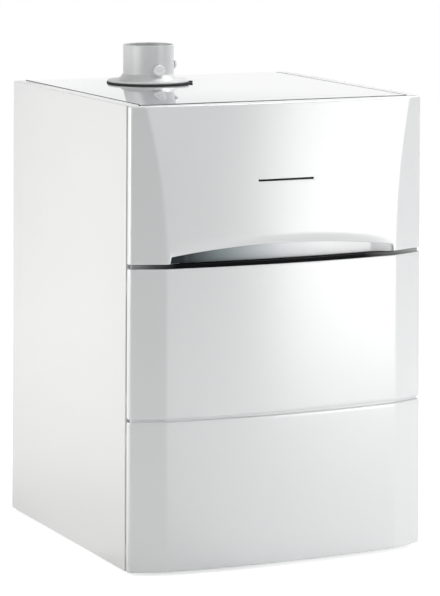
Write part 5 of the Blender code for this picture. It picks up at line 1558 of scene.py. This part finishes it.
def cleaning_cover():
    data = bmesh.new()
    for half, front, low, rear, high, bevel in ((COVER_HALF_WIDE, COVER_FRONT, 0.300, EX_FRONT, 0.392, 0.002),
                                                (HANDLE_HALF, -0.0400, 0.330, COVER_FRONT, 0.362, 0.003)):
        block((EX_MIDDLE - half, front, low), (EX_MIDDLE + half, rear, high), bevel, 2, data)
    piece("exchanger_cleaning_cover", data, "cast_aluminium", "casing")
    places = all_places((-0.120, EX_MIDDLE, 0.010), [COVER_FRONT], (0.308, 0.384), FORWARD)
    copies("cleaning_cover_nuts", nut_ring(0.0100, 0.0045, 0.0022), places, "steel")
    stud = lathe([(0, 0), (0.0021, 0), (0.0021, 0.0064), (0.0017, 0.0070), (0, 0.0070)], 16)
    copies("cleaning_cover_studs", stud, places, "steel")


def hood_rim():
    data = bmesh.new()
    for front, rear in ((-0.0282, -0.0206), (0.1192, 0.1269)):
        block((EX_LEFT, front, HOOD_LOW), (EX_RIGHT, rear, HOOD_HIGH), 0.0008, 2, data)
    piece("burner_hood_rim", data, "cast_aluminium", "casing")
    places = all_places((-0.152, -0.100, -0.055, -0.010, 0.042), (-0.0244, 0.1230), [HOOD_HIGH], Z_AXIS)
    screws("burner_hood_screws", 0.0022, places)


exchanger_parts()
cleaning_cover()
hood_rim()
print("cleaning cover", extent("exchanger_cleaning_cover"), "mm, rim", extent("burner_hood_rim"), "mm")

# %% [markdown]
# The fan has a wheel with 14 blades, a motor with cooling ribs and a plug, and the venturi, a nozzle turned
# to a smooth throat where gas and air mix.

# %% Fan
FAN = Vector((EX_MIDDLE, 0.04935, 0.7159))
# Profiles as (radius, distance along the axis)
MOTOR = [(0, 0.0104), (0.0046, 0.0104), (0.0046, 0.0003), (0.0338, 0.0003), (0.0350, 0.0015),
         (0.0350, 0.0340), (0.0340, 0.0358), (0.0300, 0.0395), (0.0296, 0.0440), (0.0286, 0.0449),
         (0, 0.0449)]
VENTURI = [(0.0280, 0), (0.0392, 0), (0.0400, 0.0008), (0.0400, 0.0034), (0.0392, 0.0042), (0.0320, 0.0042),
           (0.0312, 0.0052), (0.0308, 0.0140), (0.0302, 0.0600), (0.0252, 0.0600)]
BLADE = ((0.0116, -0.0014), (0.030, -0.0010), (0.0515, -0.0006), (0.0519, 0), (0.0515, 0.0006),
         (0.030, 0.0010), (0.0116, 0.0014))
WHEEL_HALF = 0.0170
HUB = [(0, -WHEEL_HALF), (0.0120, -WHEEL_HALF), (0.0120, WHEEL_HALF), (0.0040, WHEEL_HALF), (0.0040, 0.0345),
       (0, 0.0345)]


def fan_parts():
    places = bolt_circle(FAN - X_AXIS * 0.0294, Y_AXIS, Z_AXIS, 0.0355, (45, 135, 225, 315), -X_AXIS)
    screws("venturi_screws", 0.0022, places)
    places = bolt_circle(FAN + X_AXIS * 0.0252, Y_AXIS, Z_AXIS, 0.050, (20, 110, 200, 290), X_AXIS)
    screws("fan_cover_screws", 0.0024, places)
    case = turned(MOTOR, FAN + X_AXIS * 0.0253, X_AXIS, 72)
    piece("fan_motor_case", case, "dark_plastic", "casing", ["fan_motor"])
    angles = [math.tau * i / 18 for i in range(18)]
    ribs = [(place, way, math.pi / 2 if abs(way.y) > abs(way.z) else 0)
            for place, way in spokes(FAN + X_AXIS * 0.0452, Y_AXIS, Z_AXIS, 0.0351, angles)]
    rib = block((-0.0012, -0.0100, -0.0008), (0.0012, 0.0100, 0.0009), 0.0005, 1)
    copies("fan_motor_ribs", rib, ribs, "dark_plastic")
    plug = block((-0.0115, 0.0385, 0.7440), (0.0075, 0.0605, 0.7560), 0.0015, 2)
    piece("fan_motor_plug", plug, "white_plastic", "casing")
    # The venturi narrows in a quarter wave to its throat and widens again
    shares = [i / 8 for i in range(1, 9)]
    narrowing = [(0.0252 - 0.0072 * math.sin(math.pi / 2 * s), 0.0600 - 0.0270 * s) for s in shares]
    widening = [(0.0180 + 0.0098 * (1 - math.cos(math.pi / 2 * s)), 0.0330 - 0.0320 * s) for s in shares]
    body = turned(VENTURI + narrowing + widening, (-0.0803, FAN.y, FAN.z), -X_AXIS, 64, closed=True)
    piece("venturi_body", body, "dark_plastic", "casing", ["venturi"])
    wheel = bmesh.new()
    blades(wheel, FAN, X_AXIS, Y_AXIS, Z_AXIS, 14, (-WHEEL_HALF, WHEEL_HALF), BLADE)
    turned(HUB, FAN, X_AXIS, 40, wheel)
    piece("fan_impeller_wheel", wheel, "dark_plastic", "fan_impeller", ["fan_impeller"])


fan_parts()
print("fan wheel", extent("fan_impeller_wheel"), "mm, venturi", extent("venturi_body"), "mm")

# %% [markdown]
# The gas valve is a milled block with a neck towards the venturi, two coils on top that lift its valves,
# screws in its front and a brass test plug.

# %% Gas valve
VALVE_X, VALVE_FRONT, VALVE_TOP = -0.1125, -0.0588, 0.7459
COIL = [(0, 0), (0.0112, 0), (0.0140, 0.0010), (0.0140, 0.0040), (0.0126, 0.0048), (0.0126, 0.0196),
        (0.0140, 0.0204), (0.0140, 0.0236), (0.0130, 0.0246), (0.0062, 0.0246), (0.0062, 0.0279), (0, 0.0279)]


def gas_valve_parts():
    body = bmesh.new()
    block((-0.135, -0.05865, 0.6859), (-0.090, 0.00835, VALVE_TOP), 0.0025, 3, body)
    neck = [(0, 0), (0.008, 0), (0.008, 0.0096), (0, 0.0096)]
    turned(neck, (VALVE_X, 0.0084, FAN.z), Y_AXIS, 32, body)
    piece("gas_valve_block", body, "cast_aluminium", "casing", ["gas_valve"])
    places = all_places([VALVE_X], (-0.0419, -0.0084), [VALVE_TOP + 0.0001], Z_AXIS)
    copies("gas_valve_coils", lathe(COIL, 48), places, "dark_plastic")
    places = all_places((-0.128, -0.097), [VALVE_FRONT], (0.693, 0.739), FORWARD)
    screws("gas_valve_screws", 0.0022, places)
    plug = [(0, 0), (0.0070, 0), (0.0070, 0.0030), (0.0045, 0.0042), (0, 0.0042)]
    data = turned(plug, (VALVE_X, VALVE_FRONT, 0.716), FORWARD, 32)
    piece("gas_valve_plug", data, "brass", "casing")


gas_valve_parts()
print("gas valve", extent("gas_valve_block"), "mm, coils", extent("gas_valve_coils"), "mm")

# %% [markdown]
# Pipes are bent tubes, so each is a path of straight runs with round bends. The copper pipes are 28 mm wide,
# the gas pipe 18 mm and the moulded air duct 52 mm, with a rolled lip at its open end.

# %% Pipes
PIPE_END = REAR - 0.002
# The axes of the flow pipe, of the pump and return pipe, and of the gas pipe, with their heights at the rear
FLOW_X, FLOW_Y, FLOW_Z = 0.105, 0.04935, 0.215
RETURN_X, RETURN_Z, OUTLET_Y, OUTLET_Z = 0.110, 0.130, -0.07615, 0.270
GAS_X, GAS_Y, GAS_Z = -0.215, -0.02515, 0.250
AIR_X, AIR_END = -0.2106, 0.1918
EX_PORT = EX_RIGHT + GAP
ROUTES = {
    "flow_pipe": [(EX_PORT, FLOW_Y, 0.520), (FLOW_X, FLOW_Y, 0.520), (FLOW_X, 0.19985, 0.520),
                  (FLOW_X, 0.19985, FLOW_Z), (FLOW_X, PIPE_END, FLOW_Z)],
    "return_pipe": [(RETURN_X, -0.0469, RETURN_Z), (RETURN_X, PIPE_END, RETURN_Z)],
    "pump_outlet_pipe": [(RETURN_X, OUTLET_Y, 0.1803), (RETURN_X, OUTLET_Y, OUTLET_Z),
                         (RETURN_X, FLOW_Y, OUTLET_Z), (EX_PORT, FLOW_Y, OUTLET_Z)],
}


def smooth_pipes():
    for name, corners in ROUTES.items():
        data = tube(rounded_path(corners, 0.030, 14), 0.014, 0.0015, 40)
        piece(name + "_tube", data, "copper", "casing", [name])
    gas = [(GAS_X, 0.1915, GAS_Z), (GAS_X, GAS_Y, GAS_Z), (GAS_X, GAS_Y, 0.620), (VALVE_X, GAS_Y, 0.620),
           (VALVE_X, GAS_Y, 0.6856)]
    data = tube(rounded_path(gas, 0.024, 12), 0.009, 0.0015, 32)
    piece("gas_pipe_tube", data, "yellow_paint", "casing", ["gas_pipe"])
    air = [(-0.1406, FAN.y, FAN.z), (AIR_X, FAN.y, FAN.z), (AIR_X, AIR_END, FAN.z)]
    data = tube(rounded_path(air, 0.036, 20), 0.026, 0.002, 56)
    lip = [(0.0240, -0.0040), (0.0262, -0.0040), (0.0262, -0.0010), (0.0255, 0.0), (0.0240, 0.0)]
    turned(lip, (AIR_X, AIR_END, FAN.z), Y_AXIS, 56, data, closed=True)
    piece("air_silencer_moulding", data, "dark_plastic", "casing", ["air_silencer"])


smooth_pipes()
print("flow pipe", extent("flow_pipe_tube"), "mm, gas pipe", extent("gas_pipe_tube"), "mm")

# %% [markdown]
# Brass union nuts and olives where the pipes are joined, and the gas cock with its nuts and a flat lever
# with round ends.

# %% Fittings
NUT_BORE, GAS_BORE = 0.01415, 0.00915
LEVER_LOW, LEVER_HIGH = 0.2723, 0.2763


def pipe_parts():
    nuts = [((0.0560, FLOW_Y, 0.520), X_AXIS), ((0.0560, FLOW_Y, OUTLET_Z), X_AXIS),
            ((RETURN_X, -0.0462, RETURN_Z), Y_AXIS), ((RETURN_X, -0.07515, 0.1815), Z_AXIS),
            ((FLOW_X, 0.270, FLOW_Z), Y_AXIS), ((RETURN_X, 0.270, RETURN_Z), Y_AXIS)]
    copies("water_union_nuts", nut_ring(0.0370, 0.0160, NUT_BORE, 0.0012), nuts, "brass")
    olives = all_places([FLOW_X], (0.2685, 0.2875), [FLOW_Z], Y_AXIS)
    olives += all_places([RETURN_X], (0.2685, 0.2875), [RETURN_Z], Y_AXIS)
    copies("pipe_olives", nut_ring(0.0330, 0.0012, NUT_BORE, 0.0003), olives, "copper")
    nuts = [((GAS_X, 0.1768, GAS_Z), Y_AXIS), ((VALVE_X, GAS_Y, 0.6720), Z_AXIS)]
    copies("gas_union_nuts", nut_ring(0.0260, 0.0130, GAS_BORE, 0.0010), nuts, "brass")
    nuts = all_places([GAS_X], (0.1923, 0.2254), [GAS_Z], Y_AXIS)
    copies("gas_cock_nuts", nut_ring(0.0310, 0.0110, 0.0148, 0.0010), nuts, "brass")


def cock_lever():
    rows = []
    for z, shrink in ((LEVER_LOW, 0.0008), (0.2729, 0.0), (0.2757, 0.0), (LEVER_HIGH, 0.0008)):
        outline = arc_points((GAS_X, 0.21435), 0.0060 - shrink, 0, 180, 12)
        outline += arc_points((GAS_X, 0.1700), 0.0056 - shrink, 180, 360, 12)
        rows.append(row_at(outline, z))
    low, high = [[Vector((GAS_X, 0.192, z))] * len(rows[0]) for z in (LEVER_LOW, LEVER_HIGH)]
    data = loft([low, *rows, high], closed=True)
    piece("gas_cock_lever_grip", data, "yellow_plastic", "gas_cock_lever", ["gas_cock_lever"])


pipe_parts()
cock_lever()
print("lever", extent("gas_cock_lever_grip"), "mm, union nuts", extent("water_union_nuts"), "mm")

# %% [markdown]
# The pump: a cast housing and a can with nine cooling grooves, turned as one profile, a terminal box, four
# screws in the flange and a wheel with seven blades.

# %% Pump
PUMP = Vector((RETURN_X, -0.15815, RETURN_Z))
PUMP_WHEEL = Vector((RETURN_X, -0.08785, RETURN_Z))
CAN_FRONT = [(0, 0), (0.0350, 0), (0.0392, 0.0018), (0.0400, 0.0050)]
GROOVE = ((0.0400, 0), (0.0382, 0.0010), (0.0382, 0.0028), (0.0400, 0.0038))
HOUSING = [(0.0400, 0.0650), (0.0440, 0.0650), (0.0458, 0.0665), (0.0460, 0.0680), (0.0460, 0.0970),
           (0.0448, 0.0985), (0.0440, 0.0990), (0.0145, 0.0990), (0.0145, 0.1105), (0.0125, 0.1105),
           (0.0125, 0.0940), (0.0410, 0.0940), (0.0410, 0.0700), (0, 0.0700)]
PUMP_BLADE = ((0.0078, -0.0012), (0.0207, -0.0012), (0.0336, -0.0010), (0.0336, 0.0010), (0.0207, 0.0012),
              (0.0078, 0.0012))


def pump_parts():
    grooves = [(radius, 0.0085 + i * 0.0058 + along) for i in range(9) for radius, along in GROOVE]
    data = turned(CAN_FRONT + grooves + HOUSING, PUMP, Y_AXIS, 72)
    neck = [(0.0110, 0), (0.0140, 0), (0.0140, 0.0078), (0.0110, 0.0078)]
    turned(neck, (RETURN_X, -0.07515, 0.1722), Z_AXIS, 40, data, closed=True)
    piece("pump_casting", data, "cast_iron", "casing", ["pump_body"])
    box = block((0.0900, -0.1490, 0.1688), (0.1300, -0.1060, 0.1790), 0.0025, 3)
    piece("pump_terminal_box", box, "dark_plastic", "casing")
    places = bolt_circle(PUMP + Y_AXIS * 0.0660, X_AXIS, Z_AXIS, 0.0425, (30, 150, 210, 330), FORWARD)
    screws("pump_flange_screws", 0.0019, places)
    wheel = bmesh.new()
    blades(wheel, PUMP_WHEEL, Y_AXIS, X_AXIS, Z_AXIS, 7, (0.0002, 0.0158), PUMP_BLADE)
    turned([(0, 0.0001), (0.0080, 0.0001), (0.0080, 0.0159), (0, 0.0159)], PUMP_WHEEL, Y_AXIS, 40, wheel)
    piece("pump_impeller_wheel", wheel, "dark_plastic", "pump_impeller", ["pump_impeller"])


pump_parts()
print("pump", extent("pump_casting"), "mm, wheel", extent("pump_impeller_wheel"), "mm")

# %% [markdown]
# The expansion vessel: two pressed domes joined by a rolled seam, with a threaded stud on one side and a
# nipple on the other. The profile runs along the stud, over both domes and out along the nipple.

# %% Expansion vessel
VESSEL = (0.210, -0.07615, 0.210)
DOME = [(0.012, 0.0449), (0.060, 0.0449), (0.085, 0.0440), (0.104, 0.0408), (0.118, 0.0355), (0.128, 0.0280),
        (0.1342, 0.0180), (0.1362, 0.0095), (0.1364, 0.0064), (0.1386, 0.0058), (0.1398, 0.0046)]
NIPPLE = [(0.0100, 0.0460), (0.0100, 0.0857), (0.0080, 0.0857), (0.0080, 0.0430), (0, 0.0430)]


def vessel_shell():
    profile = [(0, -0.0884), (0.0092, -0.0884), (0.0100, -0.0876)]
    for i in range(20):
        profile += [(0.0100, -0.0860 + i * 0.0020), (0.0092, -0.0850 + i * 0.0020)]
    profile += [(radius, -height) for radius, height in DOME] + DOME[::-1] + NIPPLE
    data = turned(profile, VESSEL, -X_AXIS, 96)
    piece("expansion_vessel_shell", data, "red_paint", "casing", ["expansion_vessel"])


vessel_shell()
print("vessel", extent("expansion_vessel_shell"), "mm")

# %% [markdown]
# The condensate hose is ribbed, with a ring about every 4 mm along its path, and the siphon has grip ribs
# and a union nut. The safety valve is a turned brass body under a red cap with twelve ribs.

# %% Siphon, hose and safety valve
SIPHON = Vector((-0.055, 0.00185, 0.115))
HOSE = [(-0.0148, 0.00185, 0.095), (0.020, 0.00185, 0.095), (0.020, 0.3085, 0.095)]
RIB_PITCH, SIPHON_RADIUS = 0.004, 0.0302
VALVE_BODY = [(0, 0), (0.0120, 0), (0.0120, 0.0030), (0.0104, 0.0034), (0.0104, 0.0060), (0.0120, 0.0066),
              (0.0120, 0.0200), (0.0108, 0.0210), (0.0084, 0.0212), (0.0084, 0.0348), (0, 0.0348)]
# (radius, height, depth of the grooves)
VALVE_CAP = [(0, 0.0002, 0), (0.0138, 0.0002, 0.0010), (0.0150, 0.0012, 0.0014), (0.0146, 0.0118, 0.0014),
             (0.0128, 0.0134, 0.0008), (0.0110, 0.0139, 0), (0, 0.0132, 0)]
VALVE_FOOT, CAP_FOOT = Vector((FLOW_X, 0.1246, 0.5343)), Vector((FLOW_X, 0.1246, 0.5696))


def siphon_and_hose():
    path = rounded_path(HOSE, 0.022, 8)
    walk = []
    for one, two in zip(path, path[1:]):
        count = max(1, round((two - one).length / RIB_PITCH))
        walk += [(one + (two - one) * (k / count), (two - one).normalized()) for k in range(count)]
    rib = lathe([(0.0098, -0.0010), (0.0103, -0.0006), (0.0103, 0.0006), (0.0098, 0.0010)], 20)
    copies("hose_ribs", rib, walk[2:-2], "grey_plastic")
    # Ribs round the siphon, but for the side where the hose leaves
    angles = [math.tau * i / 20 for i in range(20)]
    places = [entry for entry in spokes(SIPHON, X_AXIS, Y_AXIS, SIPHON_RADIUS, angles) if entry[1].x < 0.85]
    rib = block((-0.0200, -0.0010, -0.0004), (0.0100, 0.0010, 0.0012), 0.0005, 1)
    copies("siphon_grip_ribs", rib, places, "grey_plastic")
    nut = nut_ring(0.0480, 0.0100, 0.0203)
    nut.transform(Matrix.Translation((SIPHON.x, SIPHON.y, 0.1385)))
    piece("siphon_union", nut, "grey_plastic", "casing")


def safety_valve_parts():
    data = turned(VALVE_BODY, VALVE_FOOT, Z_AXIS, 48)
    piece("safety_valve_brass", data, "brass", "casing", ["safety_valve"])
    data = grip(CAP_FOOT, Z_AXIS, X_AXIS, Y_AXIS, VALVE_CAP, 12, 1, 96)
    piece("safety_valve_cap_grip", data, "red_plastic", "safety_valve_cap", ["safety_valve_cap"])


siphon_and_hose()
safety_valve_parts()
print("hose ribs", extent("hose_ribs"), "mm, cap", extent("safety_valve_cap_grip"), "mm")

# %% [markdown]
# Four levelling feet: a rubber sole moulded round the end of a threaded stem. The thread is drawn as rings,
# which look the same at this pitch.

# %% Levelling feet
FOOT_X, FOOT_SETBACK = 0.252, 0.050
SOLE = [(0, 0), (0.0150, 0), (0.0165, 0.0006), (0.0170, 0.0018), (0.0168, 0.0036), (0.0150, 0.0050),
        (0.0090, 0.0052), (0.0052, 0.0052), (0.0050, 0.0046), (0, 0.0046)]
THREAD_LOW, THREAD_PITCH, THREADS = 0.0060, 0.0015, 22

stem = [(0, 0.0046), (0.0049, 0.0046)]
for i in range(THREADS):
    z = THREAD_LOW + i * THREAD_PITCH
    stem += [(0.0050, z), (0.0045, z + THREAD_PITCH / 2)]
stem += [(0.0048, 0.0392), (0.0040, 0.0400), (0, 0.0400)]
for front, y in (("front", FRONT + FOOT_SETBACK), ("rear", REAR - FOOT_SETBACK)):
    for side, word in ((-1, "left"), (1, "right")):
        name = f"levelling_foot_{front}_{word}"
        centre = (side * FOOT_X, y, 0)
        piece(name + "_sole", turned(SOLE, centre, Z_AXIS, 56), "black_rubber", name, [name])
        piece(name + "_stem", turned(stem, centre, Z_AXIS, 28), "steel", name)
print("sole", extent(name + "_sole"), "mm, stem", extent(name + "_stem"), "mm")

# %% [markdown]
# Screws hold the back panel and the crossbar. Three long beads are pressed into the back panel to stiffen
# it, as rows of outlines that grow smaller from the sheet to the bead's flat top.

# %% Rear and crossbar
BACK_FACE, BEAD_TOP, BEAD_Z = 0.28575, 0.2877, 0.560
BEAD_WIDE, BEAD_HIGH = 0.050, 0.420
BEAD_ROWS = ((0.28556, 0.0), (0.2862, 0.0006), (0.2874, 0.0030), (BEAD_TOP, 0.0045))
BAR_FACE = -0.2568


def rear_details():
    places = all_places((-0.285, -0.095, 0.095, 0.285), [BACK_FACE], (0.300, 0.824), Y_AXIS)
    places += all_places((-0.285, 0.285), [BACK_FACE], (0.475, 0.650), Y_AXIS)
    screws("back_panel_screws", 0.0034, places)
    beads = bmesh.new()
    for x in (-0.150, 0.0, 0.150):
        outline = rounded_outline(0, 0, BEAD_WIDE, BEAD_HIGH, 0.020, 6)
        rows = []
        for y, inward in BEAD_ROWS:
            wide, high = 1 - inward / (BEAD_WIDE / 2), 1 - inward / (BEAD_HIGH / 2)
            rows.append([Vector((x + px * wide, y, BEAD_Z + pz * high)) for px, pz in outline])
        rows.append([Vector((x, BEAD_TOP, BEAD_Z))] * len(outline))
        loft(rows, beads, closed=True)
    piece("back_panel_beads", beads, "galvanised", "casing")
    places = all_places((-0.285, 0.285), [BAR_FACE], [0.8185], FORWARD)
    places += all_places((-0.250, 0.250), [BAR_FACE], [0.830], FORWARD)
    screws("crossbar_screws", 0.0030, places)


rear_details()
print("beads", extent("back_panel_beads"), "mm")
